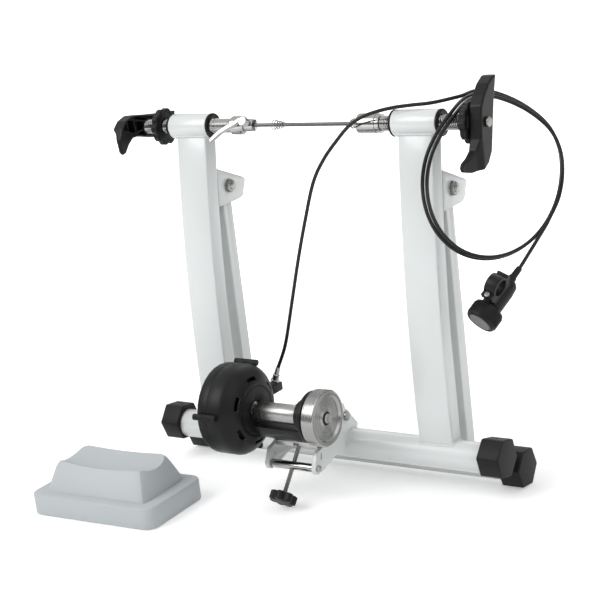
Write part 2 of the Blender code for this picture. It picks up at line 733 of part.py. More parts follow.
def springs(holder):
    """The two conical springs on the skewer, each one unbroken wire."""
    for side, (x0, x1, turns) in SPRINGS.items():
        count = int(SPRING_POINTS * turns) + 1
        points = []
        for i in range(count):
            share = i / (count - 1)
            wide = share if side == "left" else 1 - share
            radius = SPRING_WIDE_R + (SPRING_NARROW_R - SPRING_WIDE_R) * wide
            angle = 2 * math.pi * turns * share
            x = x0 + (x1 - x0) * share
            points.append(Vector((x, AXLE[0] + radius * math.cos(angle), AXLE[1] + radius * math.sin(angle))))
        report_gap(f"{side} skewer spring", points, SPRING_WIRE_R, SPRING_POINTS // 2)
        finish(tube_along(points, SPRING_WIRE_R, 1), f"{side}_skewer_spring", ZINC, holder)


def report_gap(name, points, radius, near):
    """Prints the least gap of a wound tube to itself, leaving out points that are near along it."""
    at = np.array(points)
    least = min(
        np.linalg.norm(at[i + near + 1 :] - at[i], axis=1).min() for i in range(len(at) - near - 1)
    )
    print(f"{name}: least gap between its turns {1000 * (least - 2 * radius):.2f} mm")

# Resistance unit, by X along the drum's axis
DRUM = (-0.105, 0.1315)
DRUM_R = 0.0605
CASE_WALL = 0.0025
OUTER_CASE = (-0.088, -0.0723)
INNER_CASE_START = -0.072
INNER_CASE_PROFILE = ((-0.053, 0.0605), (-0.048, 0.058), (-0.044, 0.054), (-0.040, 0.0485), (-0.034, 0.0395))
CASE_EYE_R = 0.0325
CASE_SLOTS = (30, 90, 150, 210, 270)
SLOT_R = (0.0405, 0.0455)
SLOT_HALF_ANGLE = 12
BOSS_R = 0.0045
BOSS_AT_R = 0.0645
BOSS_ANGLES = (54, 172, 292)
BOSS_END = -0.053
BOSS_HOLE_R = 0.0016
BOSS_HOLE = 0.006
SHAFT_R = 0.005
SHAFT = (-0.070, 0.0755)
SHAFT_HEAD_R = 0.0065
BEARING_R = 0.013
BEARINGS = {"left": (-0.044, -0.037), "right": (0.0395, 0.0465)}
ROLLER_R = 0.013
ROLLER = (-0.029, 0.037)
EYE_DISC = (-0.046, -0.0335)
FLANGE_R = 0.038
FLANGE = (-0.0398, -0.0368)
NECK_R = 0.012
NECK_START = -0.0605
MOVING_PLATE = (-0.0603, -0.0573)
FIXED_PLATE = (-0.081, -0.077)
ROTOR = (-0.0665, -0.0635)
PLATE_R = 0.050
ROTOR_R = 0.047
POST_R = 0.012
MAGNETS = 6
MAGNET_R = 0.007
MAGNET_AT_R = 0.036
MAGNET_DEPTH = 0.002
CHEEK = (0.038, 0.049)
CHEEK_R = 0.021
GUARD = (0.0495, 0.057)
GUARD_R = 0.034
GUARD_WALL = 0.0025
FLYWHEEL = (0.060, 0.078)
FLYWHEEL_R = 0.037
FLYWHEEL_FACE = 0.0035
FLYWHEEL_RIM_R = 0.031
FLYWHEEL_HUB_R = 0.0115
FLYWHEEL_HUB_HOLE_R = 0.0090
CRADLE_SECTION = (
    (-0.117, 0.1135), (-0.108, 0.098), (-0.074, 0.0804), (-0.030, 0.0999), (-0.034, 0.1095),
    (-0.085, 0.094), (-0.098, 0.1045), (-0.095, 0.1135),
)
LUG_LOW = (-0.066, -0.052, 0.131)
LUG_HIGH = (-0.050, -0.021, 0.142)
ADJUSTER_AT = Vector((-0.0572, -0.0285, 0.142))
ADJUSTER_ALONG = Vector((0.345, 0.075, 0.935)).normalized()
ADJUSTER_SEAT = 0.0027
ADJUSTER_PROFILE = (
    (0.0005, 0.0062), (0.0025, 0.0062), (0.0027, 0.0046), (0.0105, 0.0046), (0.0112, 0.0036), (0.0215, 0.0030),
)

# Roller adjuster
YOKE_PIVOT = (-0.010, 0.0975)
YOKE_TOP = ((-0.074, 0.080), (-0.002, 0.112))
YOKE_CHEEK = (0.031, 0.0335)
YOKE_TOP_THICK = 0.0025
YOKE_LIP_Z = 0.0730
YOKE_NOTCH_HALF = 0.0048
YOKE_NOTCH_TOP = 0.0776
PIVOT_BOLT_R = 0.004
ARM = (0.034, 0.040)
ARM_EAR_R = 0.0095
ARM_END_R = 0.008
ARM_SLOT = ((-0.0765, 0.0700), (-0.0740, 0.0690), (-0.0755, 0.0600), (-0.0785, 0.0605))
TRUNNION = (-0.0866, 0.0511)
TRUNNION_R = 0.00575
TRUNNION_HALF = 0.0337
TRUNNION_JOURNAL_R = 0.003
TRUNNION_HEAD_R = 0.0045
TRUNNION_HEAD = 0.003
ROD_R = 0.003
ROD_ALONG = Vector((0.0, 0.676, 0.737)).normalized()
ROD_END = 0.031
ROD_SWIVEL = 0.033
ROD_HOLE_CLEARANCE = 0.0003
SWIVEL_R = 0.0054
SWIVEL_HOLE_R = 0.0046
STAR_AT = -0.046
STAR_HALF = 0.0064
STAR_R = 0.0185
STAR_LOBES = 7
# One lobe of the rim, as (share of half a lobe, share of the radius)
STAR_RIM = ((-0.40, 0.985), (0.40, 0.985), (0.78, 0.845), (1.22, 0.845))


def on_rod(distance):
    """A point of the adjuster rod's axis, measured from the trunnion's centre."""
    return Vector((0.0, *TRUNNION)) + ROD_ALONG * distance


def round_drum(profile, steps=32):
    return turned(profile, DRUM, steps)


def at_drum(radius, degrees):
    angle = math.radians(degrees)
    return (DRUM[0] + radius * math.cos(angle), DRUM[1] + radius * math.sin(angle))


def outer_casing(holder):
    """The drum's outer cover, with the post that carries the fixed magnet plate and its screw bosses."""
    x0, x1 = OUTER_CASE
    inner_r = DRUM_R - CASE_WALL
    edge = 0.004
    profile = [
        (x0, 0.0),
        (x0, DRUM_R - edge),
        (x0 + 0.3 * edge, DRUM_R - 0.3 * edge),
        (x0 + edge, DRUM_R),
        (x1, DRUM_R),
        (x1, inner_r),
        (x0 + CASE_WALL, inner_r),
        (x0 + CASE_WALL, POST_R),
        (FIXED_PLATE[0] - GAP, POST_R),
        (FIXED_PLATE[0] - GAP, 0.0),
    ]
    case = round_drum(profile)
    bosses = [along_x(at_drum(BOSS_AT_R, a), x0, x1, BOSS_R, sides=8) for a in BOSS_ANGLES]
    join(case, *bosses)
    cut(case, *[along_x(at_drum(BOSS_AT_R, a), x0 - PLATE, x0 + BOSS_HOLE, BOSS_HOLE_R, sides=8) for a in BOSS_ANGLES])
    finish(case, "outer_casing", BLACK, holder)


def slot_cutter(x0, x1, degrees):
    low, high = degrees - SLOT_HALF_ANGLE, degrees + SLOT_HALF_ANGLE
    edge = arc(DRUM, SLOT_R[0], low, high, 3) + arc(DRUM, SLOT_R[1], high, low, 3)
    return outline(edge, x0, x1)


def inner_casing(holder):
    """The drum's inner cover, slotted round the cradle's disc, with the lug for the cable."""
    face = INNER_CASE_PROFILE[-1][0]
    outside = [(INNER_CASE_START, DRUM_R), *INNER_CASE_PROFILE]
    inside = [(x - CASE_WALL * 0.8, r - CASE_WALL * 0.8) for x, r in INNER_CASE_PROFILE[::-1]]
    inside[0] = (face - CASE_WALL, INNER_CASE_PROFILE[-1][1] - 0.001)
    profile = [*outside, (face, CASE_EYE_R), (face - CASE_WALL, CASE_EYE_R), *inside]
    profile.append((INNER_CASE_START, DRUM_R - CASE_WALL))
    case = round_drum(profile)
    bosses = [along_x(at_drum(BOSS_AT_R, a), INNER_CASE_START, BOSS_END, BOSS_R, sides=8) for a in BOSS_ANGLES]
    lug = box(LUG_LOW, LUG_HIGH)
    trim = along_x(DRUM, LUG_LOW[0] - PLATE, LUG_HIGH[0] + PLATE, DRUM_R - CASE_WALL / 2, sides=40)
    cut(lug, trim)
    join(case, *bosses, lug)
    slots = [slot_cutter(face - 0.012, face + PLATE, a) for a in CASE_SLOTS]
    cut(case, *slots)
    finish(case, "inner_casing", BLACK, holder)


def magnet_plate(name, x0, x1, bore_r, facing, holder):
    """A steel disc with shallow magnet seats on the side that faces the rotor."""
    if bore_r:
        plate = round_drum(ring(x0, x1, PLATE_R, bore_r), 24)
    else:
        plate = round_drum(disc(x0, x1, PLATE_R), 24)
    seat = x1 if facing > 0 else x0
    seats = []
    for i in range(MAGNETS):
        centre = at_drum(MAGNET_AT_R, 360.0 / MAGNETS * i)
        seats.append(along_x(centre, seat - MAGNET_DEPTH / 2, seat + MAGNET_DEPTH / 2, MAGNET_R, sides=6))
    join(plate, *seats)
    finish(plate, name, MAGNET, holder)


def cradle(holder):
    """The black carrier: a bearing disc in the casing's eye, a web under the roller and a bearing cheek."""
    disc_start, disc_end = EYE_DISC
    eye_r = CASE_EYE_R - GAP
    shaft_hole = SHAFT_R + 3 * GAP
    seat_r = BEARING_R + GAP
    left = round_drum(
        [
            (NECK_START, shaft_hole),
            (NECK_START, NECK_R),
            (disc_start, NECK_R),
            (disc_start, eye_r),
            (FLANGE[0], eye_r),
            (FLANGE[0], FLANGE_R),
            (FLANGE[1], FLANGE_R),
            (FLANGE[1], eye_r),
            (disc_end, eye_r),
            (disc_end, seat_r),
            (BEARINGS["left"][0] - GAP, seat_r),
            (BEARINGS["left"][0] - GAP, shaft_hole),
        ],
        28,
    )
    right = round_drum(ring(*CHEEK, CHEEK_R, seat_r), 24)
    web = outline(CRADLE_SECTION, INNER_CASE_PROFILE[-1][0] + GAP, CHEEK[1])
    bore = along_x(DRUM, BEARINGS["left"][0], CHEEK[1] + PLATE, ROLLER_R + 0.0012, sides=28)
    cut(web, bore)
    join(left, right, web)
    finish(left, "cradle", BLACK, holder)


def roller_group(spin, holder):
    """The roller, its shaft and bearings, the rotor and the flywheel."""
    head = 0.003
    shaft = round_drum(
        [
            (SHAFT[0], 0.0),
            (SHAFT[0], SHAFT_R),
            (SHAFT[1], SHAFT_R),
            (SHAFT[1], SHAFT_HEAD_R),
            (SHAFT[1] + head - 0.001, SHAFT_HEAD_R),
            (SHAFT[1] + head, SHAFT_HEAD_R - 0.001),
            (SHAFT[1] + head, 0.0),
        ],
        20,
    )
    finish(shaft, "shaft", STEEL, spin)
    bore = SHAFT_R + GAP
    edge = 0.001
    x0, x1 = ROLLER
    roller = [(x0, bore), (x0, ROLLER_R - edge), (x0 + edge, ROLLER_R), (x1 - edge, ROLLER_R), (x1, ROLLER_R - edge), (x1, bore)]
    finish(round_drum(roller, 28), "roller", STEEL, spin)
    finish(round_drum(ring(*ROTOR, ROTOR_R, bore), 20), "rotor", STEEL, spin)
    for side, (low, high) in BEARINGS.items():
        finish(round_drum(ring(low, high, BEARING_R, bore), 16), f"{side}_bearing", STEEL, holder)
    x0, x1 = FLYWHEEL
    flywheel = [
        (x0, bore),
        (x0, FLYWHEEL_R - edge),
        (x0 + edge, FLYWHEEL_R),
        (x1 - edge, FLYWHEEL_R),
        (x1, FLYWHEEL_R - edge),
        (x1, FLYWHEEL_RIM_R),
        (x1 - FLYWHEEL_FACE, FLYWHEEL_RIM_R - 0.002),
        (x1 - FLYWHEEL_FACE, FLYWHEEL_HUB_R),
        (x1 - FLYWHEEL_FACE / 2, FLYWHEEL_HUB_R - 0.001),
        (x1 - FLYWHEEL_FACE / 2, FLYWHEEL_HUB_HOLE_R),
        (SHAFT[1] - 2 * FLYWHEEL_FACE, FLYWHEEL_HUB_HOLE_R),
        (SHAFT[1] - 2 * FLYWHEEL_FACE, bore),
    ]
    finish(round_drum(flywheel, 28), "flywheel", STEEL, spin)


def end_guard(holder):
    """The black dish between the right bearing and the flywheel."""
    x0, x1 = GUARD
    profile = [
        (x0, SHAFT_R + 3 * GAP),
        (x0, CHEEK_R),
        (x0 + GUARD_WALL, GUARD_R),
        (x1, GUARD_R),
        (x1, GUARD_R - GUARD_WALL),
        (x0 + 2 * GUARD_WALL, GUARD_R - GUARD_WALL),
        (x0 + 2 * GUARD_WALL, SHAFT_R + 3 * GAP),
    ]
    finish(round_drum(profile, 28), "end_guard", BLACK, holder)


def cable_adjuster(holder):
    """The barrel adjuster on the drum's lug, which the cable's housing seats in."""
    profile = [(0.0, 0.0), (0.0, 0.0062)] + [(s, r) for s, r in ADJUSTER_PROFILE[1:]] + [(ADJUSTER_PROFILE[-1][0], 0.0)]
    piece = turned(profile, None, 14, ADJUSTER_ALONG, ADJUSTER_AT + ADJUSTER_ALONG * ADJUSTER_SEAT)
    finish(piece, "cable_adjuster", CHROME, holder)


def yoke(holder):
    """The bent channel that the cradle sits on: two cheeks, a sloping top and a front lip."""
    (y0, z0), (y1, z1) = YOKE_TOP
    slope = Vector((y1 - y0, z1 - z0)).normalized()
    down = Vector((slope.y, -slope.x))
    side_view = [(y0, z0), (y1, z1)]
    side_view += arc(YOKE_PIVOT, 0.0125, 25, -75, 7)
    side_view += [(-0.030, 0.0845), (-0.0585, 0.0690), (-0.074, YOKE_LIP_Z)]
    inner, outer = YOKE_CHEEK
    block = outline(side_view, -outer, outer)
    t = YOKE_TOP_THICK
    front = y0 + t
    under = [(front, z0 + down.y * t + t * slope.y), (y1 + 0.03, z1 + down.y * t + 0.03 * slope.y / slope.x)]
    under += [(y1 + 0.03, YOKE_LIP_Z - 0.02), (front, YOKE_LIP_Z - 0.02)]
    pocket = outline(under, -inner, inner)
    bolt = along_x(YOKE_PIVOT, -outer - PLATE, outer + PLATE, PIVOT_BOLT_R + GAP, sides=14)
    swivel = on_rod(ROD_SWIVEL)
    pin = along_x((swivel.y, swivel.z), -outer - PLATE, outer + PLATE, TRUNNION_JOURNAL_R + GAP, sides=14)
    notch = box((-YOKE_NOTCH_HALF, y0 - t, YOKE_LIP_Z - 2 * t), (YOKE_NOTCH_HALF, y0 + 2 * t, YOKE_NOTCH_TOP))
    cut(block, pocket, bolt, pin, notch)
    finish(block, "yoke", CHROME, holder)


def arm(side):
    """The plate welded to the base tube that carries the yoke's pivot and the trunnion."""
    x0, x1 = span(side, *ARM)
    ear = arc(YOKE_PIVOT, ARM_EAR_R, 165, 10, 7)
    back = [(0.0163, 0.0800), (0.0172, 0.0765), (0.0140, 0.0700), (0.0, 0.060)]
    low = [(-0.016, 0.046), (-0.0300, 0.0495), (-0.0416, 0.0535), (-0.0770, 0.0437)]
    end = arc(TRUNNION, ARM_END_R, -55, -205, 8)
    front = [(-0.0870, 0.0690), (-0.0835, 0.0725), (-0.0740, 0.0745), (-0.0300, 0.0930)]
    plate = outline(ear + back + low + end + front, x0, x1)
    bolt = along_x(YOKE_PIVOT, x0 - PLATE, x1 + PLATE, PIVOT_BOLT_R + GAP, sides=14)
    pin = along_x(TRUNNION, x0 - PLATE, x1 + PLATE, TRUNNION_JOURNAL_R + GAP, sides=14)
    slot = outline(ARM_SLOT, x0 - PLATE, x1 + PLATE)
    return cut(plate, bolt, pin, slot)



def headed_pin(axis, half, radius, journal_r, outer, head_r, head, sides=12):
    """A pin along X with thinner ends that pass through two plates and are headed outside them."""
    profile = [(-outer - head, 0.0), (-outer - head, head_r - 0.0008), (-outer - head + 0.0008, head_r), (-outer, head_r)]
    profile += [(-outer, journal_r), (-half, journal_r), (-half, radius)]
    mirrored = [(-x, r) for x, r in profile[::-1]]
    return turned(profile + mirrored, axis, sides)


def yoke_pins(root, swivel_holder, trunnion_holder):
    outer = ARM[1] + GAP
    bolt = turned(
        [(-outer - 0.0035, 0.0), (-outer - 0.0035, 0.0065), (-outer, 0.0065), (-outer, PIVOT_BOLT_R),
         (outer, PIVOT_BOLT_R), (outer, 0.0065), (outer + 0.0035, 0.0065), (outer + 0.0035, 0.0)],
        YOKE_PIVOT,
        14,
    )
    finish(bolt, "yoke_pivot_bolt", ZINC, root)
    trunnion = headed_pin(TRUNNION, TRUNNION_HALF, TRUNNION_R, TRUNNION_JOURNAL_R, outer, TRUNNION_HEAD_R, TRUNNION_HEAD)
    cut(trunnion, cylinder(on_rod(-0.012), on_rod(0.012), ROD_R + ROD_HOLE_CLEARANCE, sides=14))
    finish(trunnion, "trunnion", CHROME, trunnion_holder)
    swivel = on_rod(ROD_SWIVEL)
    inner, cheek = YOKE_CHEEK
    half = inner - GAP
    profile = [(-cheek, 0.0), (-cheek, TRUNNION_JOURNAL_R), (-half, TRUNNION_JOURNAL_R), (-half, SWIVEL_R)]
    profile += [(-x, r) for x, r in profile[::-1]]
    pin = turned(profile, (swivel.y, swivel.z), 14)
    cut(pin, cylinder(on_rod(ROD_SWIVEL - 0.010), on_rod(ROD_SWIVEL + 0.0012), SWIVEL_HOLE_R, sides=14))
    finish(pin, "swivel_pin", ZINC, swivel_holder)


def rod_and_knob(rod_holder, knob_holder):
    """The adjuster rod through the trunnion, and the star knob on its lower end."""
    rod = cylinder(on_rod(STAR_AT - STAR_HALF + 0.003), on_rod(ROD_END), ROD_R, sides=14)
    finish(rod, "adjuster_rod", ZINC, rod_holder)
    rim = []
    for i in range(STAR_LOBES):
        middle = 360.0 / STAR_LOBES * i
        half = 180.0 / STAR_LOBES
        for share, radius in STAR_RIM:
            angle = math.radians(middle + half * share)
            rim.append((STAR_R * radius * math.cos(angle), STAR_R * radius * math.sin(angle)))
    knob = outline(rim, -STAR_HALF, STAR_HALF, 0.0012)
    turn = Matrix.Translation(on_rod(STAR_AT)) @ frame_along(ROD_ALONG) @ Matrix(((0, 1, 0, 0), (0, 0, 1, 0), (1, 0, 0, 0), (0, 0, 0, 1)))
    moved(knob, turn)
    hole = cylinder(on_rod(STAR_AT - STAR_HALF + 0.0027), on_rod(STAR_AT + STAR_HALF + PLATE), ROD_R + GAP, sides=14)
    cut(knob, hole)
    finish(knob, "star_knob", BLACK, knob_holder)

# Cable
CABLE_R = 0.0024
# Route of the lead from the drum to the right barrel, by hand
LEAD_ROUTE = (
    (-0.0412, -0.0245, 0.1810), (-0.0310, -0.0250, 0.2040), (-0.0130, -0.0280, 0.2550), (0.0080, -0.0300, 0.3180),
    (0.0260, -0.0300, 0.3700), (0.0430, -0.0260, 0.4200), (0.0590, -0.0200, 0.4490), (0.0760, -0.0120, 0.4710),
    (0.0940, -0.0040, 0.4900), (0.1140, 0.0040, 0.5005), (0.1410, 0.0150, 0.5065), (0.1670, 0.0240, 0.5085),
    (0.1940, 0.0330, 0.5095),
)
COIL_CENTRE = Vector((0.2605, 0.0539, 0.4109))
COIL_ACROSS = Vector((0.5, 0.8660254, 0.0))
COIL_NORMAL = Vector((0.8660254, -0.5, 0.0))
COIL_FROM = 100.0
COIL_TURNS = 2.4
COIL_POINTS = 20
COIL_R = 0.1045
COIL_DRAW_IN = 0.003
COIL_SPREAD = 0.0056
COIL_BEND = 0.040
COIL_BEND_AT = 74.0
COIL_BEND_HALF = 60.0
TAIL_POINTS = 8
LEAD_POINTS = 42
REMOTE_AT = Vector((0.280, 0.060, 0.292))
REMOTE_ALONG = Vector((-0.309, -0.737, -0.601)).normalized()
REMOTE_SIDE = Vector((0.217, -0.670, 0.710))
REMOTE_SIDE = (REMOTE_SIDE - REMOTE_SIDE.dot(REMOTE_ALONG) * REMOTE_ALONG).normalized()
REMOTE_ACROSS = REMOTE_ALONG.cross(REMOTE_SIDE)

# Remote, by distance along it from its ferrule
REMOTE_BODY = (
    (0.0, 0.0), (0.0, 0.0032), (0.013, 0.0032), (0.0135, 0.0052), (0.018, 0.0060), (0.020, 0.0095), (0.024, 0.0125),
    (0.036, 0.0138), (0.062, 0.0138), (0.0645, 0.0120), (0.0645, 0.0),
)
DIAL = (0.0648, 0.088)
DIAL_R = 0.021
DIAL_RIBS = 20
DIAL_RIB = 0.0009
CLAMP_AT = 0.044
CLAMP_OFF = 0.0265
CLAMP_BORE_R = 0.011
CLAMP_WALL = 0.003
CLAMP_HALF_WIDTH = 0.008
CLAMP_HINGE = -0.0165
CLAMP_HINGE_R = 0.0032
CLAMP_TAB = 0.020
CLAMP_TAB_THICK = 0.003
CLAMP_SCREW_R = 0.0018
CLAMP_SCREW_HEAD_R = 0.0034


def smooth(points, count):
    """Points spread evenly along one smooth curve through the given points."""
    at = np.array([tuple(p) for p in points])
    ends = np.vstack([2 * at[0] - at[1], at, 2 * at[-1] - at[-2]])
    fine = []
    for i in range(1, len(ends) - 2):
        before, here, there, after = ends[i - 1 : i + 3]
        for t in np.linspace(0, 1, 24, endpoint=False):
            fine.append(
                0.5 * (2 * here + (there - before) * t + (2 * before - 5 * here + 4 * there - after) * t**2
                + (3 * here - before - 3 * there + after) * t**3)
            )
    fine = np.array(fine + [at[-1]])
    run = np.concatenate([[0], np.cumsum(np.linalg.norm(np.diff(fine, axis=0), axis=1))])
    where = np.linspace(0, run[-1], count)
    return [Vector([np.interp(w, run, fine[:, k]) for k in range(3)]) for w in where]


def coil_point(turns):
    """A point of the coil, after a number of turns. It bends away from the lever near its top."""
    degrees = COIL_FROM - 360.0 * turns
    angle = math.radians(degrees)
    radius = COIL_R - COIL_DRAW_IN * turns
    from_bend = (degrees - COIL_BEND_AT + 180.0) % 360.0 - 180.0
    bend = math.cos(math.radians(90.0 * min(abs(from_bend) / COIL_BEND_HALF, 1.0))) ** 2
    off = COIL_SPREAD * (turns - COIL_TURNS / 2) - COIL_BEND * bend
    return (
        COIL_CENTRE + COIL_ACROSS * radius * math.cos(angle) + Vector((0, 0, radius * math.sin(angle)))
        + COIL_NORMAL * off
    )


def with_ends(points, start, start_way, end, end_way):
    """The run between two faces, straight and square to each for one diameter, with a gap to both."""
    straight = 2 * CABLE_R
    head = [start + start_way * GAP, start + start_way * straight]
    foot = [end - end_way * straight, end - end_way * GAP]
    return head + list(points[2:-2]) + foot


def cable_runs():
    """The three runs of the cable, as lists of points that meet end to end."""
    mouth = ADJUSTER_AT + ADJUSTER_ALONG * (ADJUSTER_SEAT + ADJUSTER_PROFILE[-1][0])
    count = int(COIL_POINTS * COIL_TURNS) + 1
    coil = [coil_point(i / COIL_POINTS) for i in range(count)]
    straight = 2 * CABLE_R
    start_way = (coil[1] - coil[0]).normalized()
    end_way = (coil[-1] - coil[-2]).normalized()
    route = [mouth, mouth + ADJUSTER_ALONG * straight, *[Vector(p) for p in LEAD_ROUTE]]
    route += [coil[0] - start_way * straight, coil[0]]
    lead = smooth(route, LEAD_POINTS)
    last = REMOTE_AT - REMOTE_ALONG * straight
    tail = smooth([coil[-1], coil[-1] + end_way * straight, last, REMOTE_AT], TAIL_POINTS)
    return {
        "cable_lead": with_ends(lead, mouth, ADJUSTER_ALONG, coil[0], start_way),
        "cable_coil": coil,
        "cable_tail": with_ends(tail, coil[-1], end_way, REMOTE_AT, REMOTE_ALONG),
    }


def cable(root):
    total = 0.0
    for name, points in cable_runs().items():
        total += sum((b - a).length for a, b in zip(points, points[1:]))
        if name == "cable_coil":
            report_gap(name, points, CABLE_R, COIL_POINTS // 2)
        finish(tube_along(points, CABLE_R, 1), name, RUBBER, root)
    print(f"cable length {total:.3f} m")


def on_remote(along, side=0.0, across=0.0):
    return REMOTE_AT + REMOTE_ALONG * along + REMOTE_SIDE * side + REMOTE_ACROSS * across


def remote_plate(points, low, high):
    """A plate with an outline of (along, side) points about the clamp's centre, between two stations across."""
    plate = outline(points, low, high)
    centre = on_remote(CLAMP_AT, CLAMP_OFF)
    turn = Matrix((REMOTE_ACROSS, REMOTE_ALONG, REMOTE_SIDE)).transposed().to_4x4()
    return moved(plate, Matrix.Translation(centre) @ turn)


def remote_housing(root):
    """The remote's body with its cable ferrule, and the fixed half of its handlebar clamp."""
    body = turned(list(REMOTE_BODY), None, 20, REMOTE_ALONG, REMOTE_AT)
    outer = CLAMP_BORE_R + CLAMP_WALL
    half = CLAMP_HALF_WIDTH
    base = -CLAMP_OFF + 0.004
    saddle = [(-outer, -GAP), (CLAMP_HINGE - 0.001, -GAP), (CLAMP_HINGE - 0.001, -0.005), (-0.012, base), (0.012, base)]
    saddle += [(CLAMP_TAB, -0.004), (CLAMP_TAB, -GAP), (outer, -GAP)]
    block = remote_plate(saddle, -half, half)
    bore = remote_plate(arc((0, 0), CLAMP_BORE_R, 0, 340, 18), -2 * half, 2 * half)
    pin_hole = remote_plate(arc((CLAMP_HINGE, 0), CLAMP_HINGE_R + GAP, 0, 330, 12), -2 * half, 2 * half)
    screw = cylinder(
        on_remote(CLAMP_AT + CLAMP_SCREW_AT, CLAMP_OFF - 0.010), on_remote(CLAMP_AT + CLAMP_SCREW_AT, CLAMP_OFF + 0.010),
        CLAMP_SCREW_R + GAP, sides=16,
    )
    cut(block, bore, pin_hole, screw)
    join(body, block)
    finish(body, "remote_housing", BLACK, root)


CLAMP_SCREW_AT = 0.0172


def clamp(strap_holder, screw_holder):
    """The hinged half of the handlebar clamp, and its screw."""
    outer = CLAMP_BORE_R + CLAMP_WALL
    half = CLAMP_HALF_WIDTH
    ring_top = arc((0, 0), outer, 4, 176, 16)
    knuckle = arc((CLAMP_HINGE, 0), CLAMP_HINGE_R, 60, 340, 12) + [(CLAMP_HINGE + CLAMP_HINGE_R, GAP)]
    inner = arc((0, 0), CLAMP_BORE_R, 178, 2, 16)
    tab = [(CLAMP_TAB, GAP), (CLAMP_TAB, CLAMP_TAB_THICK), (outer, CLAMP_TAB_THICK)]
    strap = remote_plate(tab + ring_top + knuckle + inner, -half, half)
    at = CLAMP_AT + CLAMP_SCREW_AT
    hole = cylinder(on_remote(at, CLAMP_OFF - 0.010), on_remote(at, CLAMP_OFF + 0.010), CLAMP_SCREW_R + GAP, sides=16)
    cut(strap, hole)
    finish(strap, "clamp_strap", BLACK, strap_holder)
    top = CLAMP_OFF + CLAMP_TAB_THICK + GAP
    shank = cylinder(on_remote(at, CLAMP_OFF - 0.0035), on_remote(at, top), CLAMP_SCREW_R, sides=16)
    head = cylinder(on_remote(at, top), on_remote(at, top + 0.002), CLAMP_SCREW_HEAD_R, sides=20)
    join(shank, head)
    finish(shank, "clamp_screw", ZINC, screw_holder)


def dial(holder):
    """The ribbed dial on the remote's end."""
    rim = []
    for i in range(DIAL_RIBS):
        middle = 360.0 / DIAL_RIBS * i
        quarter = 90.0 / DIAL_RIBS
        rim += arc((0, 0), DIAL_R, middle - quarter, middle + quarter, 2)
        rim += arc((0, 0), DIAL_R - DIAL_RIB, middle + 1.3 * quarter, middle + 2.7 * quarter, 2)
    low, high = DIAL
    knob = outline(rim, low, high)
    turn = Matrix.Translation(REMOTE_AT) @ frame_along(REMOTE_ALONG) @ Matrix(((0, 1, 0, 0), (0, 0, 1, 0), (1, 0, 0, 0), (0, 0, 0, 1)))
    moved(knob, turn)
    face = turned([(high - 0.0012, 0.0), (high - 0.0012, DIAL_R - 0.0035), (high + 0.001, DIAL_R - 0.0035), (high + 0.001, 0.0)],
                  None, 20, REMOTE_ALONG, REMOTE_AT)
    cut(knob, face)
    finish(knob, "remote_dial", BLACK, holder)


# Riser block
RISER_AT = (-0.236, -0.178)
RISER_TURN = 2.0
SLAB = (0.208, 0.123)
SLAB_HEIGHT = 0.0307
SLAB_CORNER_R = 0.016
BODY_BASE = (0.0871, 0.0520)
BODY_TOP = (0.0728, 0.0311)
RIDGE_FRONT = 0.0710
RIDGE_REAR = 0.0735
GROOVE_R = 0.046
GROOVE_WHEEL_R = 0.340
GROOVE_FLOOR = 0.0535


def rounded_rectangle(length, width, radius, steps):
    points = []
    for sx, sy, start in ((1, 1, 0), (-1, 1, 90), (-1, -1, 180), (1, -1, 270)):
        points += arc((sx * (length / 2 - radius), sy * (width / 2 - radius)), radius, start, start + 90, steps)
    return points


def riser_block(holder):
    """The block for the front wheel: a slab, a tapered body, and a groove like a wheel's print."""
    upright_plate = outline(rounded_rectangle(*SLAB, SLAB_CORNER_R, 6), 0.0, SLAB_HEIGHT, 0.003)
    flat = Matrix(((0, 1, 0, 0), (0, 0, 1, 0), (1, 0, 0, 0), (0, 0, 0, 1)))
    slab = moved(upright_plate, flat)
    shape = bmesh.new()
    bmesh.ops.create_cube(shape, size=2.0)
    sink = 0.006
    for vert in shape.verts:
        x, y, z = vert.co
        half = BODY_TOP if z > 0 else BODY_BASE
        height = (RIDGE_REAR if y > 0 else RIDGE_FRONT) if z > 0 else SLAB_HEIGHT - sink
        vert.co = (x * half[0], y * half[1], height)
    body = from_bmesh("body", shape)
    rounded = body.modifiers.new("rounded", "BEVEL")
    rounded.width = 0.010
    rounded.segments = 2
    major = GROOVE_WHEEL_R - GROOVE_R
    circle = [(GROOVE_R * math.sin(a), major + GROOVE_R * math.cos(a)) for a in np.linspace(0, 2 * math.pi, 33)[:-1]]
    wheel = turned(circle, None, 72, (0, 1, 0), (0, 0, GROOVE_FLOOR + GROOVE_WHEEL_R))
    cut(body, wheel)
    join(slab, body)
    block = as_mesh_with(slab)
    turn = Matrix.Translation((*RISER_AT, 0)) @ Matrix.Rotation(math.radians(RISER_TURN), 4, "Z")
    moved(block, turn)
    finish(block, "riser_block", BLOCK, holder)


def as_mesh_with(obj):
    """The object with its Booleans applied, and its helpers removed."""
    helpers = [modifier.object for modifier in obj.modifiers if modifier.type == "BOOLEAN"]
    helpers += [m.object for helper in helpers for m in helper.modifiers if m.type == "BOOLEAN"]
    solid = as_mesh(obj)
    for helper in helpers:
        bpy.data.objects.remove(helper, do_unlink=True)
    return solid


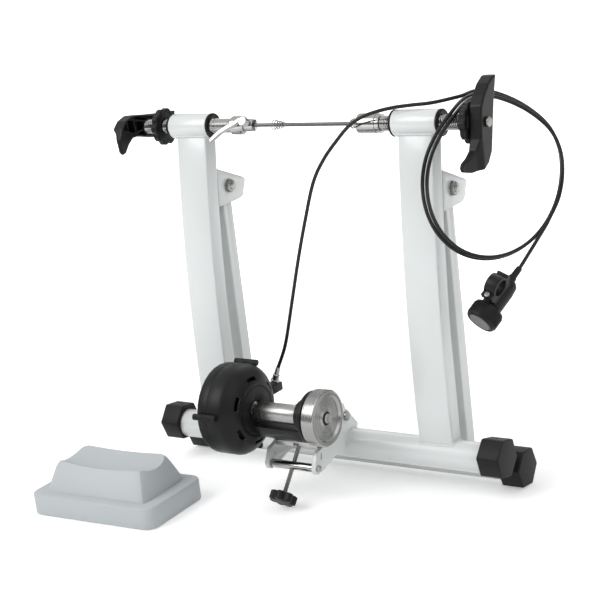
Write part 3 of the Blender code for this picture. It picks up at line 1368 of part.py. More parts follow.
def main():
    clear_scene()
    world = empty("trainer")
    root = world
    holders = {"rear_frame": empty("rear_frame", (0, *FOLD))}
    for side in SIDES:
        holders[f"{side}_front_foot"] = empty(f"{side}_front_foot_axis", (0, *FRONT_TUBE))
    rear = holders["rear_frame"]
    base_tubes(root, rear)
    feet(holders)
    for side in SIDES:
        upright(side, root)
        barrel(side, root)
        bracket(side, root)
        rear_leg(side, rear)
        fold_bolt(side, root)
        cup_holder = empty(f"{side}_cup_axis", (0, *AXLE))
        spindle_holder = empty(f"{side}_spindle_axis", (0, *AXLE))
        cup(side, cup_holder)
        spindle(side, spindle_holder)
        lever(side, spindle_holder)
        lever_screw(side, spindle_holder)
        lock_knob(side, empty(f"{side}_knob_axis", (0, *AXLE)))
    skewer_holder = empty("skewer_axis", (0, *AXLE))
    skewer(skewer_holder)
    springs(skewer_holder)
    qr_lever(empty("qr_lever_axis", (CAM_X, *AXLE)))
    skewer_nut(empty("skewer_nut_axis", (0, *AXLE)))

    yoke_holder = empty("yoke_axis", (0, *YOKE_PIVOT))
    yoke(yoke_holder)
    cradle(yoke_holder)
    outer_casing(yoke_holder)
    inner_casing(yoke_holder)
    end_guard(yoke_holder)
    cable_adjuster(yoke_holder)
    magnet_plate("fixed_magnet_plate", *FIXED_PLATE, 0.0, 1, yoke_holder)
    drum_axis = (0, *DRUM)
    magnet_plate("moving_magnet_plate", *MOVING_PLATE, NECK_R + GAP, -1, empty("magnet_plate_axis", drum_axis))
    roller_group(empty("roller_axis", drum_axis), yoke_holder)
    swivel = on_rod(ROD_SWIVEL)
    yoke_pins(root, empty("swivel_axis", swivel), empty("trunnion_axis", (0, *TRUNNION)))
    rod_and_knob(empty("rod_axis", (0, *TRUNNION)), empty("star_knob_axis", on_rod(STAR_AT)))

    cable(root)
    remote_housing(root)
    hinge = on_remote(CLAMP_AT + CLAMP_HINGE, CLAMP_OFF)
    clamp(empty("clamp_strap_axis", hinge), empty("clamp_screw_axis", on_remote(CLAMP_AT + CLAMP_SCREW_AT, CLAMP_OFF)))
    dial(empty("remote_dial_axis", REMOTE_AT))
    riser_block(empty("riser_block_place", (*RISER_AT, 0)))


if __name__ == "__main__":
    main()
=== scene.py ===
"""Magnetic bike trainer, folded, with its cable looped over the right clamp and a riser block beside it.

Metres, +Z up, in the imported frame. AT moves the trainer's own frame, whose X runs along the wheel's axle,
whose Y is 0 at the front base tube and whose Z is 0 on the floor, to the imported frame.
"""
import json
import math

import bmesh
import bpy
import numpy as np
from mathutils import Matrix, Vector

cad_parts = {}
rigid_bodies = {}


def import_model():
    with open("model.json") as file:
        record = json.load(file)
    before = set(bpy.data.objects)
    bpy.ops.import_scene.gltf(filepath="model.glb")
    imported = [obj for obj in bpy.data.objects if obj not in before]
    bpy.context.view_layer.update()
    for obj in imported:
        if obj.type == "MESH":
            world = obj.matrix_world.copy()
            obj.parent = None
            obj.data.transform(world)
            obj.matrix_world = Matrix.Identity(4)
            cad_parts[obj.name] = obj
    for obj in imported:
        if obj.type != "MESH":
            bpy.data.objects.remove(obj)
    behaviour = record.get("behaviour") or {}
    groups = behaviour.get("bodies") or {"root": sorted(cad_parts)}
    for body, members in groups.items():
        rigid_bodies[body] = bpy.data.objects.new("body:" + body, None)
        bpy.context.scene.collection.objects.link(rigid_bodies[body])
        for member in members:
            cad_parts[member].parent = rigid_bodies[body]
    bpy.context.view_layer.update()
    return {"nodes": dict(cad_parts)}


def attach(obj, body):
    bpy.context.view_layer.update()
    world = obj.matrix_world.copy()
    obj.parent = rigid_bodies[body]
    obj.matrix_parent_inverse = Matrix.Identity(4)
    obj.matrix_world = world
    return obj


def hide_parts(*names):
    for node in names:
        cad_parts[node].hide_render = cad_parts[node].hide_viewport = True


bl_info = {
    "name": "Magnetic bike trainer",
    "version": (1, 0, 0),
    "blender": (4, 5, 0),
    "location": "3D View > Sidebar > Trainer",
    "description": "Dresses the packed model of a folding magnetic bike trainer",
    "category": "Object",
}

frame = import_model()

# Where the trainer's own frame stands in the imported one, and the (Y, Z) of its main lines along X
AT = Vector((0.0320, 0.0763, 0.0))
SIDES = {"left": -1, "right": 1}
AXLE = (0.0231, 0.4865)
DRUM = (-0.105, 0.1315)
FRONT_TUBE = (0.0, 0.0559)
REAR_TUBE = (0.05407, 0.02565)
UPRIGHT_X = 0.1765


# Sizes and colours that a user would change
class FrameSettings(bpy.types.PropertyGroup):
    paint: bpy.props.FloatVectorProperty(
        name="Paint", description="Colour of the frame's paint", subtype="COLOR", size=3, min=0, max=1,
        default=(0.735, 0.762, 0.758),
    )
    weld: bpy.props.FloatProperty(
        name="Weld bead", description="Radius of the weld beads", unit="LENGTH", default=0.0016, min=0.0005,
    )
    edge: bpy.props.FloatProperty(
        name="Edge radius", description="Radius of the painted steel's edges", unit="LENGTH", default=0.0007,
        min=0.0001,
    )


class ClampSettings(bpy.types.PropertyGroup):
    pitch: bpy.props.FloatProperty(
        name="Thread pitch", description="Pitch of the clamp spindles' thread", unit="LENGTH",
        default=0.0025, min=0.001,
    )
    depth: bpy.props.FloatProperty(
        name="Thread depth", description="Depth of the clamp spindles' thread", unit="LENGTH",
        default=0.0011, min=0.0002,
    )
    black: bpy.props.FloatVectorProperty(
        name="Black", description="Colour of the levers and knobs", subtype="COLOR", size=3, min=0, max=1,
        default=(0.0080, 0.0080, 0.0088),
    )


class DrumSettings(bpy.types.PropertyGroup):
    black: bpy.props.FloatVectorProperty(
        name="Casing", description="Colour of the drum's casing", subtype="COLOR", size=3, min=0, max=1,
        default=(0.0075, 0.0075, 0.0082),
    )
    grooves: bpy.props.IntProperty(
        name="Turned grooves", description="Grooves turned in the flywheel's face", default=9, min=1, max=30,
    )


class CableSettings(bpy.types.PropertyGroup):
    radius: bpy.props.FloatProperty(
        name="Cable radius", description="Radius of the cable's housing", unit="LENGTH", default=0.0024,
        min=0.001,
    )
    ribs: bpy.props.IntProperty(
        name="Dial ribs", description="Grip ribs round the remote's dial", default=40, min=8, max=90,
    )


class BlockSettings(bpy.types.PropertyGroup):
    colour: bpy.props.FloatVectorProperty(
        name="Block", description="Colour of the riser block", subtype="COLOR", size=3, min=0, max=1,
        default=(0.50, 0.535, 0.550),
    )
    round: bpy.props.FloatProperty(
        name="Block rounding", description="Radius of the riser block's edges", unit="LENGTH",
        default=0.0022, min=0.0005,
    )


class StageSettings(bpy.types.PropertyGroup):
    key: bpy.props.FloatProperty(
        name="Key lamp", description="Power of the large lamp on the left", unit="POWER", default=118.0,
    )
    fill: bpy.props.FloatProperty(
        name="Fill lamp", description="Power of the lamp on the right", unit="POWER", default=9.0,
    )
    lens: bpy.props.FloatProperty(
        name="Lens", description="Focal length of the camera", unit="CAMERA", default=94.05,
    )


# Helpers for meshes
SHARP_DEGREES = 35
SAME_POINT = 2e-6
FLAT_DEGREES = 1.0
SPAN_STEPS = 24


def add(name, data):
    obj = bpy.data.objects.new(name, data)
    bpy.context.scene.collection.objects.link(obj)
    return obj


def from_bmesh(name, shape, recalculate=True):
    if recalculate:
        bmesh.ops.recalc_face_normals(shape, faces=shape.faces)
    mesh = bpy.data.meshes.new(name)
    shape.to_mesh(mesh)
    shape.free()
    return add(name, mesh)


def baked(obj):
    """The evaluated object as a plain mesh at the origin, in place of the object."""
    bpy.context.view_layer.update()
    evaluated = obj.evaluated_get(bpy.context.evaluated_depsgraph_get())
    mesh = bpy.data.meshes.new_from_object(evaluated)
    mesh.transform(obj.matrix_world)
    name = obj.name
    bpy.data.objects.remove(obj, do_unlink=True)
    return add(name, mesh)


def smooth_shade(obj):
    obj.data.polygons.foreach_set("use_smooth", [True] * len(obj.data.polygons))
    obj.data.set_sharp_from_angle(angle=math.radians(SHARP_DEGREES))


def finish(obj, material, body, replaces=()):
    """Gives a piece its material and its body, and hides the CAD nodes that it stands for."""
    obj.data.materials.clear()
    obj.data.materials.append(material)
    smooth_shade(obj)
    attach(obj, body)
    if replaces:
        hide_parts(*replaces)
    return obj


def dressed(node, material, body, edge=0.0006, segments=2, limit=SHARP_DEGREES):
    """A copy of a CAD node with its faces joined, its edges rounded and its curves shaded smooth."""
    shape = bmesh.new()
    shape.from_mesh(frame["nodes"][node].data)
    bmesh.ops.remove_doubles(shape, verts=shape.verts, dist=SAME_POINT)
    bmesh.ops.dissolve_limit(
        shape, angle_limit=math.radians(FLAT_DEGREES), verts=shape.verts, edges=shape.edges,
        delimit={"NORMAL"},
    )
    obj = from_bmesh(f"{node}_dressed", shape, recalculate=False)
    bevel = obj.modifiers.new("edge", "BEVEL")
    bevel.width = edge
    bevel.segments = segments
    bevel.limit_method = "ANGLE"
    bevel.angle_limit = math.radians(limit)
    bevel.use_clamp_overlap = True
    return finish(baked(obj), material, body, [node])


def cast(node, material, body, grain=0.0007, rounds=30):
    """A copy of a CAD node as a soft casting: its faces made even and its edges worn round."""
    obj = add(f"{node}_cast", frame["nodes"][node].data.copy())
    remesh = obj.modifiers.new("even faces", "REMESH")
    remesh.mode = "VOXEL"
    remesh.voxel_size = grain
    remesh.use_smooth_shade = True
    soften = obj.modifiers.new("round edges", "SMOOTH")
    soften.factor = 0.5
    soften.iterations = rounds
    return finish(baked(obj), material, body, [node])


def frame_along(direction, up=(0, 0, 1)):
    """A rotation whose Z runs along direction and whose Y leans towards up."""
    z = Vector(direction).normalized()
    y = Vector(up) - Vector(up).dot(z) * z
    if y.length < 1e-6:
        y = Vector((0, 1, 0)) - z.y * z
    y.normalize()
    return Matrix((y.cross(z), y, z)).transposed().to_4x4()


def along_x(axis, way=1, x=0.0):
    """The place of a shape whose Z is to run from x along the line at (Y, Z), to the right or the left."""
    return Matrix.Translation(AT + Vector((x, *axis))) @ frame_along((way, 0, 0))


def turned(name, profile, place, steps=96, rim=None):
    """A solid of revolution about Z from (station, radius) points.

    rim(angle, station, radius) gives the radius to use there.
    """
    shape = bmesh.new()
    rows = []
    for station, radius in profile:
        if radius <= 1e-9:
            rows.append([shape.verts.new((0, 0, station))])
            continue
        row = []
        for i in range(steps):
            angle = 2 * math.pi * i / steps
            r = rim(angle, station, radius) if rim else radius
            row.append(shape.verts.new((r * math.cos(angle), r * math.sin(angle), station)))
        rows.append(row)
    pairs = list(zip(rows, rows[1:]))
    if len(rows[0]) > 1 and len(rows[-1]) > 1:
        pairs.append((rows[-1], rows[0]))
    for a, b in pairs:
        for i in range(steps):
            j = (i + 1) % steps
            corners = [a[i % len(a)], a[j % len(a)], b[j % len(b)], b[i % len(b)]]
            faces = list(dict.fromkeys(corners))
            if len(faces) > 2:
                shape.faces.new(faces)
    obj = from_bmesh(name, shape)
    obj.data.transform(place)
    return obj


def joined(name, objs):
    """Several mesh objects as one mesh."""
    shape = bmesh.new()
    for obj in objs:
        shape.from_mesh(obj.data)
        bpy.data.objects.remove(obj, do_unlink=True)
    return from_bmesh(name, shape, recalculate=False)


def smooth_path(points, count):
    """Points spread evenly along one smooth curve through the given points."""
    at = np.array([tuple(p) for p in points])
    ends = np.vstack([2 * at[0] - at[1], at, 2 * at[-1] - at[-2]])
    fine = []
    for i in range(1, len(ends) - 2):
        before, here, there, after = ends[i - 1 : i + 3]
        for t in np.linspace(0, 1, SPAN_STEPS, endpoint=False):
            fine.append(
                0.5 * (2 * here + (there - before) * t + (2 * before - 5 * here + 4 * there - after) * t**2
                + (3 * here - before - 3 * there + after) * t**3)
            )
    fine = np.array(fine + [at[-1]])
    run = np.concatenate([[0], np.cumsum(np.linalg.norm(np.diff(fine, axis=0), axis=1))])
    where = np.linspace(0, run[-1], count)
    return [Vector([np.interp(w, run, fine[:, k]) for k in range(3)]) for w in where]


# Nodes, for materials and for Geometry Nodes
def fill(tree, sockets, values):
    """Links each named socket from another socket, or sets it to a value."""
    for key, value in values.items():
        if isinstance(value, bpy.types.NodeSocket):
            tree.links.new(value, sockets[key])
        else:
            sockets[key].default_value = value


def put(tree, kind, inputs=None, **attributes):
    """Adds a node, sets its attributes, fills its inputs and returns its outputs."""
    node = tree.nodes.new(kind)
    for title, value in attributes.items():
        setattr(node, title, value)
    fill(tree, node.inputs, inputs or {})
    return node.outputs


def calculated(tree, operation, *values):
    """The result of a Math node on sockets or numbers."""
    return put(tree, "ShaderNodeMath", dict(enumerate(values)), operation=operation)[0]


def noise(tree, where, scale, detail=2.0):
    """A noise pattern's height, from 0 to 1."""
    return put(tree, "ShaderNodeTexNoise", {"Vector": where, "Scale": scale, "Detail": detail})["Fac"]


def ranged(tree, value, low=0.0, high=1.0, to_low=0.0, to_high=1.0, curve="LINEAR"):
    """A value taken from one range to another, and kept within it."""
    ends = {"From Min": low, "From Max": high, "To Min": to_low, "To Max": to_high}
    return put(tree, "ShaderNodeMapRange", {"Value": value, **ends}, interpolation_type=curve)["Result"]


def mixed(tree, factor, a, b):
    """A colour that goes from a to b by the factor. Each of a and b is a socket or a colour."""
    a, b = ((*side, 1.0) if isinstance(side, tuple) else side for side in (a, b))
    return put(tree, "ShaderNodeMix", {"Factor": factor, "A": a, "B": b}, data_type="RGBA")["Result"]


def bump(tree, height, strength, distance):
    """The normal of a surface that a height pattern roughens."""
    values = {"Strength": strength, "Distance": distance, "Height": height}
    return put(tree, "ShaderNodeBump", values)["Normal"]


# Shader groups that several materials use
def group(name, inputs, outputs):
    """A shader group's tree, the sockets that it is given and the sockets that it puts out."""
    tree = bpy.data.node_groups.new(name, "ShaderNodeTree")
    for title, kind, value in inputs:
        socket = tree.interface.new_socket(name=title, in_out="INPUT", socket_type=kind)
        socket.default_value = value
    for title, kind in outputs:
        tree.interface.new_socket(name=title, in_out="OUTPUT", socket_type=kind)
    return tree, tree.nodes.new("NodeGroupInput").outputs, tree.nodes.new("NodeGroupOutput").inputs


def fine_grain():
    """Fine moulded or sprayed grain: its height, and a roughness that varies slowly over the piece."""
    tree, given, out = group(
        "Fine grain",
        [("Vector", "NodeSocketVector", (0, 0, 0)), ("Scale", "NodeSocketFloat", 900.0),
         ("Roughness", "NodeSocketFloat", 0.4), ("Spread", "NodeSocketFloat", 0.08)],
        [("Height", "NodeSocketFloat"), ("Roughness", "NodeSocketFloat")],
    )
    centred = calculated(tree, "SUBTRACT", noise(tree, given["Vector"], 22.0), 0.5)
    fill(tree, out, {
        "Height": noise(tree, given["Vector"], given["Scale"], 3.0),
        "Roughness": calculated(tree, "MULTIPLY_ADD", centred, given["Spread"], given["Roughness"]),
    })
    return tree


def edge_wear():
    """A mask that is high on rubbed edges: where the rounded normal leaves the true one, broken by noise."""
    tree, given, out = group(
        "Edge wear",
        [("Vector", "NodeSocketVector", (0, 0, 0)), ("Amount", "NodeSocketFloat", 0.5)],
        [("Mask", "NodeSocketFloat")],
    )
    rounded = put(tree, "ShaderNodeBevel", {"Radius": 0.0012}, samples=3)["Normal"]
    true = put(tree, "ShaderNodeNewGeometry")["True Normal"]
    agreement = put(tree, "ShaderNodeVectorMath", {0: rounded, 1: true}, operation="DOT_PRODUCT")["Value"]
    edge = ranged(tree, agreement, 0.995, 0.90)
    patch = ranged(tree, noise(tree, given["Vector"], 160.0, 5.0), 0.48, 0.62)
    rubbed = calculated(tree, "MULTIPLY", edge, patch)
    fill(tree, out, {"Mask": calculated(tree, "MULTIPLY", rubbed, given["Amount"])})
    return tree


DUST_COLOUR = (0.62, 0.61, 0.58)


def dust():
    """A light film on faces that look up, broken by soft noise, mixed over a colour."""
    tree, given, out = group(
        "Dust",
        [("Vector", "NodeSocketVector", (0, 0, 0)), ("Colour", "NodeSocketColor", (0.5, 0.5, 0.5, 1)),
         ("Amount", "NodeSocketFloat", 0.06)],
        [("Colour", "NodeSocketColor")],
    )
    normal = put(tree, "ShaderNodeNewGeometry")["Normal"]
    up = ranged(tree, put(tree, "ShaderNodeSeparateXYZ", {"Vector": normal})["Z"], 0.2)
    film = calculated(tree, "MULTIPLY", up, noise(tree, given["Vector"], 35.0, 4.0))
    amount = calculated(tree, "MULTIPLY", film, given["Amount"])
    fill(tree, out, {"Colour": mixed(tree, amount, given["Colour"], DUST_COLOUR)})
    return tree


GROUPS = {}


def effect(tree, name, vector, **values):
    """Places a shared shader group in a material, with its own values, and returns what it puts out."""
    if name not in GROUPS:
        GROUPS[name] = {"Fine grain": fine_grain, "Edge wear": edge_wear, "Dust": dust}[name]()
    return put(tree, "ShaderNodeGroup", {"Vector": vector, **values}, node_tree=GROUPS[name])


# Materials, one for each finish of the trainer
def base(name, colour, metallic=0.0):
    """A new material, its tree, its shader's inputs and the Object coordinates that its patterns read."""
    made = bpy.data.materials.new(name)
    made.use_nodes = True
    made.diffuse_color = (*colour, 1.0)
    tree = made.node_tree
    shader = tree.nodes["Principled BSDF"].inputs
    fill(tree, shader, {"Base Color": (*colour, 1.0), "Metallic": metallic})
    return made, tree, shader, put(tree, "ShaderNodeTexCoord")["Object"]


def shade(colour, share):
    """A share of a colour."""
    return tuple(share * c for c in colour)


def frame_paint(colour):
    """Pale grey gloss paint with a faint orange peel and a little dust."""
    made, tree, shader, where = base("frame paint", colour)
    uneven = mixed(tree, noise(tree, where, 9.0), colour, shade(colour, 0.955))
    grain = effect(tree, "Fine grain", where, Scale=420.0, Roughness=0.30, Spread=0.10)
    fill(tree, shader, {
        "Base Color": effect(tree, "Dust", where, Amount=0.10, Colour=uneven)["Colour"],
        "Roughness": grain["Roughness"],
        "Normal": bump(tree, grain["Height"], 0.05, 0.0004),
        "Coat Weight": 0.35,
        "Coat Roughness": 0.12,
    })
    return made


def plated(name, colour, roughness, spread=0.06):
    """Bright or dull plating, whose roughness is uneven as on handled hardware."""
    made, tree, shader, where = base(name, colour, 1.0)
    grain = effect(tree, "Fine grain", where, Scale=260.0, Roughness=roughness, Spread=spread)
    fill(tree, shader, {
        "Base Color": mixed(tree, noise(tree, where, 60.0, 4.0), colour, shade(colour, 0.82)),
        "Roughness": grain["Roughness"],
        "Normal": bump(tree, grain["Height"], 0.03, 0.0003),
    })
    return made


def turned_steel(name, colour, centre, scale, roughness):
    """Steel turned about a line along X: fine lines that run round it, told by station and radius alone."""
    made, tree, shader, where = base(name, colour, 1.0)
    middle = AT + Vector((0.0, *centre))
    centred = put(tree, "ShaderNodeVectorMath", {0: where, 1: middle}, operation="SUBTRACT")["Vector"]
    split = put(tree, "ShaderNodeSeparateXYZ", {"Vector": centred})
    across = put(tree, "ShaderNodeCombineXYZ", {"X": split["Y"], "Y": split["Z"]})["Vector"]
    radius = put(tree, "ShaderNodeVectorMath", {0: across}, operation="LENGTH")["Value"]
    lathe = put(tree, "ShaderNodeCombineXYZ", {"X": split["X"], "Y": radius})["Vector"]
    lines = noise(tree, lathe, scale, 3.0)
    fill(tree, shader, {
        "Base Color": mixed(tree, lines, shade(colour, 0.72), colour),
        "Roughness": ranged(tree, lines, 0.3, 0.7, roughness - 0.08, roughness + 0.12),
        "Normal": bump(tree, lines, 0.12, 0.0002),
    })
    return made


def moulded(name, colour, roughness, grain_scale, grain_strength, wear, film, sheen=0.20):
    """Moulded plastic, rubber or sprayed casting: fine grain, light dust and paler rubbed edges."""
    made, tree, shader, where = base(name, colour)
    grain = effect(tree, "Fine grain", where, Scale=grain_scale, Roughness=roughness, Spread=0.08)
    rubbed = tuple(min(1.0, 0.035 + 1.35 * c) for c in colour)
    worn = mixed(tree, effect(tree, "Edge wear", where, Amount=wear)["Mask"], colour, rubbed)
    fill(tree, shader, {
        "Base Color": effect(tree, "Dust", where, Amount=film, Colour=worn)["Colour"],
        "Roughness": grain["Roughness"],
        "Normal": bump(tree, grain["Height"], grain_strength, 0.0004),
        "Specular IOR Level": sheen,
    })
    return made


CABLE_BLACK = (0.0065, 0.0065, 0.0070)


def cable_sheath():
    """Smooth black extruded sleeve, with a slow change of gloss along it."""
    made, tree, shader, where = base("cable sheath", CABLE_BLACK)
    grain = effect(tree, "Fine grain", where, Scale=150.0, Roughness=0.32, Spread=0.14)
    fill(tree, shader, {
        "Base Color": effect(tree, "Dust", where, Amount=0.006, Colour=(*CABLE_BLACK, 1))["Colour"],
        "Roughness": grain["Roughness"],
        "Normal": bump(tree, grain["Height"], 0.03, 0.0003),
        "Specular IOR Level": 0.30,
    })
    return made


FINISHES = {}


def finishes():
    """Every material of the trainer, made once."""
    if FINISHES:
        return FINISHES
    scene = bpy.context.scene
    black = tuple(scene.trainer_clamps.black)
    casing = tuple(scene.trainer_drum.black)
    block = tuple(scene.trainer_block.colour)
    FINISHES.update(
        paint=frame_paint(tuple(scene.trainer_frame.paint)),
        chrome=plated("chrome plate", (0.42, 0.42, 0.41), 0.14),
        zinc=plated("zinc plate", (0.30, 0.30, 0.285), 0.28, 0.12),
        yoke=plated("zinc sheet", (0.47, 0.47, 0.455), 0.24, 0.10),
        roller=turned_steel("roller steel", (0.40, 0.40, 0.39), DRUM, 5200.0, 0.30),
        flywheel=turned_steel("flywheel steel", (0.37, 0.37, 0.36), DRUM, 2600.0, 0.22),
        casting=moulded("black casting paint", black, 0.36, 520.0, 0.10, wear=0.22, film=0.012),
        knob=moulded("black knob plastic", black, 0.42, 1500.0, 0.12, wear=0.16, film=0.012),
        casing=moulded("casing plastic", casing, 0.40, 1700.0, 0.10, wear=0.15, film=0.010),
        cradle=moulded("cradle paint", (0.0085, 0.0085, 0.0092), 0.40, 600.0, 0.10, wear=0.18, film=0.012),
        rubber=moulded("foot rubber", (0.0075, 0.0075, 0.0080), 0.50, 1200.0, 0.14, wear=0.14, film=0.020),
        bush=moulded("bush nylon", (0.0080, 0.0080, 0.0085), 0.42, 900.0, 0.06, wear=0.10, film=0.010),
        remote=moulded("remote plastic", (0.0090, 0.0090, 0.0098), 0.42, 1600.0, 0.10, wear=0.16, film=0.012),
        face=moulded("remote end face", (0.20, 0.205, 0.21), 0.45, 1600.0, 0.08, wear=0.10, film=0.05),
        rod=plated("skewer steel", (0.12, 0.12, 0.118), 0.28),
        magnet=plated("blackened plate", (0.10, 0.10, 0.11), 0.40),
        block=moulded("riser block plastic", block, 0.50, 1500.0, 0.35, wear=0.06, film=0.05, sheen=0.45),
        cable=cable_sheath(),
    )
    return FINISHES


# Geometry Nodes trees
def node_tree(name, inputs):
    """A Geometry Nodes tree, its inputs' identifiers, the sockets it is given and those it puts out."""
    tree = bpy.data.node_groups.new(name, "GeometryNodeTree")
    tree.interface.new_socket(name="Geometry", in_out="INPUT", socket_type="NodeSocketGeometry")
    keys = {}
    for title, kind in inputs:
        socket = tree.interface.new_socket(name=title, in_out="INPUT", socket_type=kind)
        keys[title] = socket.identifier
    tree.interface.new_socket(name="Geometry", in_out="OUTPUT", socket_type="NodeSocketGeometry")
    return tree, keys, tree.nodes.new("NodeGroupInput").outputs, tree.nodes.new("NodeGroupOutput").inputs


def run_tree(start, tree, keys, values):
    """Runs a tree on a start mesh and returns the result as a plain mesh of the same name."""
    modifier = start.modifiers.new(start.name, "NODES")
    modifier.node_group = tree
    for title, value in values.items():
        modifier[keys[title]] = value
    return baked(start)


def end_tree(tree, given, out, geometry):
    """Ends a tree in Realize Instances and Set Material."""
    real = put(tree, "GeometryNodeRealizeInstances", {"Geometry": geometry})["Geometry"]
    painted = put(tree, "GeometryNodeSetMaterial", {"Geometry": real, "Material": given["Finish"]})
    fill(tree, out, {"Geometry": painted["Geometry"]})


def bead_tree():
    """Beads of weld, one after another along the start mesh's edges."""
    tree, keys, given, out = node_tree(
        "Weld bead",
        [("Radius", "NodeSocketFloat"), ("Step", "NodeSocketFloat"), ("Finish", "NodeSocketMaterial")],
    )
    seam = put(tree, "GeometryNodeMeshToCurve", {"Mesh": given["Geometry"]})["Curve"]
    spaced = put(tree, "GeometryNodeResampleCurve", {"Curve": seam, "Length": given["Step"]}, mode="LENGTH")
    drop = put(tree, "GeometryNodeMeshIcoSphere", {"Subdivisions": 2, "Radius": given["Radius"]})
    beads = put(tree, "GeometryNodeInstanceOnPoints", {"Points": spaced["Curve"], "Instance": drop["Mesh"]})
    end_tree(tree, given, out, beads["Instances"])
    return tree, keys


def ring_tree():
    """A ring of like ribs about Z: long boxes with their middles on a circle, each turned to face out."""
    tree, keys, given, out = node_tree(
        "Ring of ribs",
        [("Count", "NodeSocketInt"), ("Radius", "NodeSocketFloat"), ("Rib", "NodeSocketVector"),
         ("Finish", "NodeSocketMaterial")],
    )
    circle = put(tree, "GeometryNodeMeshCircle", {"Vertices": given["Count"], "Radius": given["Radius"]})
    rib = put(tree, "GeometryNodeMeshCube", {"Size": given["Rib"]})
    share = calculated(tree, "DIVIDE", put(tree, "GeometryNodeInputIndex")["Index"], given["Count"])
    angle = calculated(tree, "MULTIPLY", share, 2 * math.pi)
    ribs = put(tree, "GeometryNodeInstanceOnPoints", {
        "Points": circle["Mesh"], "Instance": rib["Mesh"],
        "Rotation": put(tree, "ShaderNodeCombineXYZ", {"Z": angle})["Vector"],
    })
    end_tree(tree, given, out, ribs["Instances"])
    return tree, keys


def spring_tree():
    """A round wire wound in a conical spiral about Z."""
    tree, keys, given, out = node_tree(
        "Conical spring",
        [("Turns", "NodeSocketFloat"), ("Start radius", "NodeSocketFloat"), ("End radius", "NodeSocketFloat"),
         ("Length", "NodeSocketFloat"), ("Wire", "NodeSocketFloat"), ("Finish", "NodeSocketMaterial")],
    )
    spiral = put(tree, "GeometryNodeCurveSpiral", {
        "Resolution": 40, "Rotations": given["Turns"], "Start Radius": given["Start radius"],
        "End Radius": given["End radius"], "Height": given["Length"],
    })
    wire = put(tree, "GeometryNodeCurvePrimitiveCircle", {"Resolution": 12, "Radius": given["Wire"]})
    swept = put(tree, "GeometryNodeCurveToMesh", {
        "Curve": spiral["Curve"], "Profile Curve": wire["Curve"], "Fill Caps": True,
    })
    end_tree(tree, given, out, swept["Mesh"])
    return tree, keys


def empty_mesh(name):
    return add(name, bpy.data.meshes.new(name))


def polyline(name, paths):
    """Open or closed lines through points as one mesh of edges. Each path is (points, closed)."""
    mesh = bpy.data.meshes.new(name)
    points, edges = [], []
    for path, closed in paths:
        first = len(points)
        points += [tuple(AT + Vector(p)) for p in path]
        last = len(points) - 1
        edges += [(i, i + 1) for i in range(first, last)]
        if closed:
            edges.append((last, first))
    mesh.from_pydata(points, edges, [])
    return add(name, mesh)


# Stage: the camera's place, how it looks, the lamps, and the tones of the room and the floor
CAMERA_AT = (1.1959, -1.5723, 0.7950)
CAMERA_RIGHT = Vector((0.8250, 0.5530, -0.1170))
CAMERA_FORWARD = Vector((-0.5630, 0.7850, -0.2580)).normalized()
SENSOR_WIDTH = 36.0
LAMPS = (("key", (-1.9, -3.1, 3.3), 2.8), ("fill", (2.2, -0.2, 1.5), 1.8), ("back", (-0.2, 2.0, 1.9), 1.6))
LAMPS_AIM = Vector((0.02, 0.05, 0.25))
ROOM_LIGHT = 0.55
HORIZON = 0.25
FLOOR_HALF = 12.0
FLOOR_DROP = 0.0002
FLOOR_NEAR = 0.35
FLOOR_FAR = 1.6
FLOOR_GLOW = 0.36


def camera_and_lamps(settings):
    data = bpy.data.cameras.new("camera")
    data.lens = settings.lens
    data.sensor_width = SENSOR_WIDTH
    data.clip_end = 100.0
    camera = add("camera", data)
    right = (CAMERA_RIGHT - CAMERA_RIGHT.dot(CAMERA_FORWARD) * CAMERA_FORWARD).normalized()
    turn = Matrix((right, right.cross(CAMERA_FORWARD), -CAMERA_FORWARD)).transposed().to_4x4()
    camera.matrix_world = Matrix.Translation(CAMERA_AT) @ turn
    bpy.context.scene.camera = camera
    for name, at, size in LAMPS:
        lamp = bpy.data.lights.new(name, "AREA")
        lamp.energy = settings.key if name == "key" else settings.fill
        lamp.size = size
        obj = add(name, lamp)
        aim = LAMPS_AIM - Vector(at)
        obj.matrix_world = Matrix.Translation(at) @ aim.to_track_quat("-Z", "Y").to_matrix().to_4x4()


def seen(tree, *rays):
    """1 for the named kinds of ray, and 0 for all others."""
    path = put(tree, "ShaderNodeLightPath")
    result = path[rays[0]]
    for ray in rays[1:]:
        result = calculated(tree, "MAXIMUM", result, path[ray])
    return result


def studio_world():
    """A white room that lights softly. Mirror faces see it darker towards the horizon."""
    world = bpy.data.worlds.new("studio")
    bpy.context.scene.world = world
    world.use_nodes = True
    tree = world.node_tree
    in_view = seen(tree, "Is Camera Ray", "Is Glossy Ray", "Is Transmission Ray")
    where = put(tree, "ShaderNodeTexCoord")["Generated"]
    height = put(tree, "ShaderNodeSeparateXYZ", {"Vector": where})["Z"]
    band = ranged(tree, height, -0.05, 0.85, HORIZON, curve="SMOOTHSTEP")
    fill(tree, tree.nodes["Background"].inputs, {
        "Color": mixed(tree, seen(tree, "Is Glossy Ray"), (1.0, 1.0, 1.0), band),
        "Strength": ranged(tree, in_view, to_low=ROOM_LIGHT),
    })


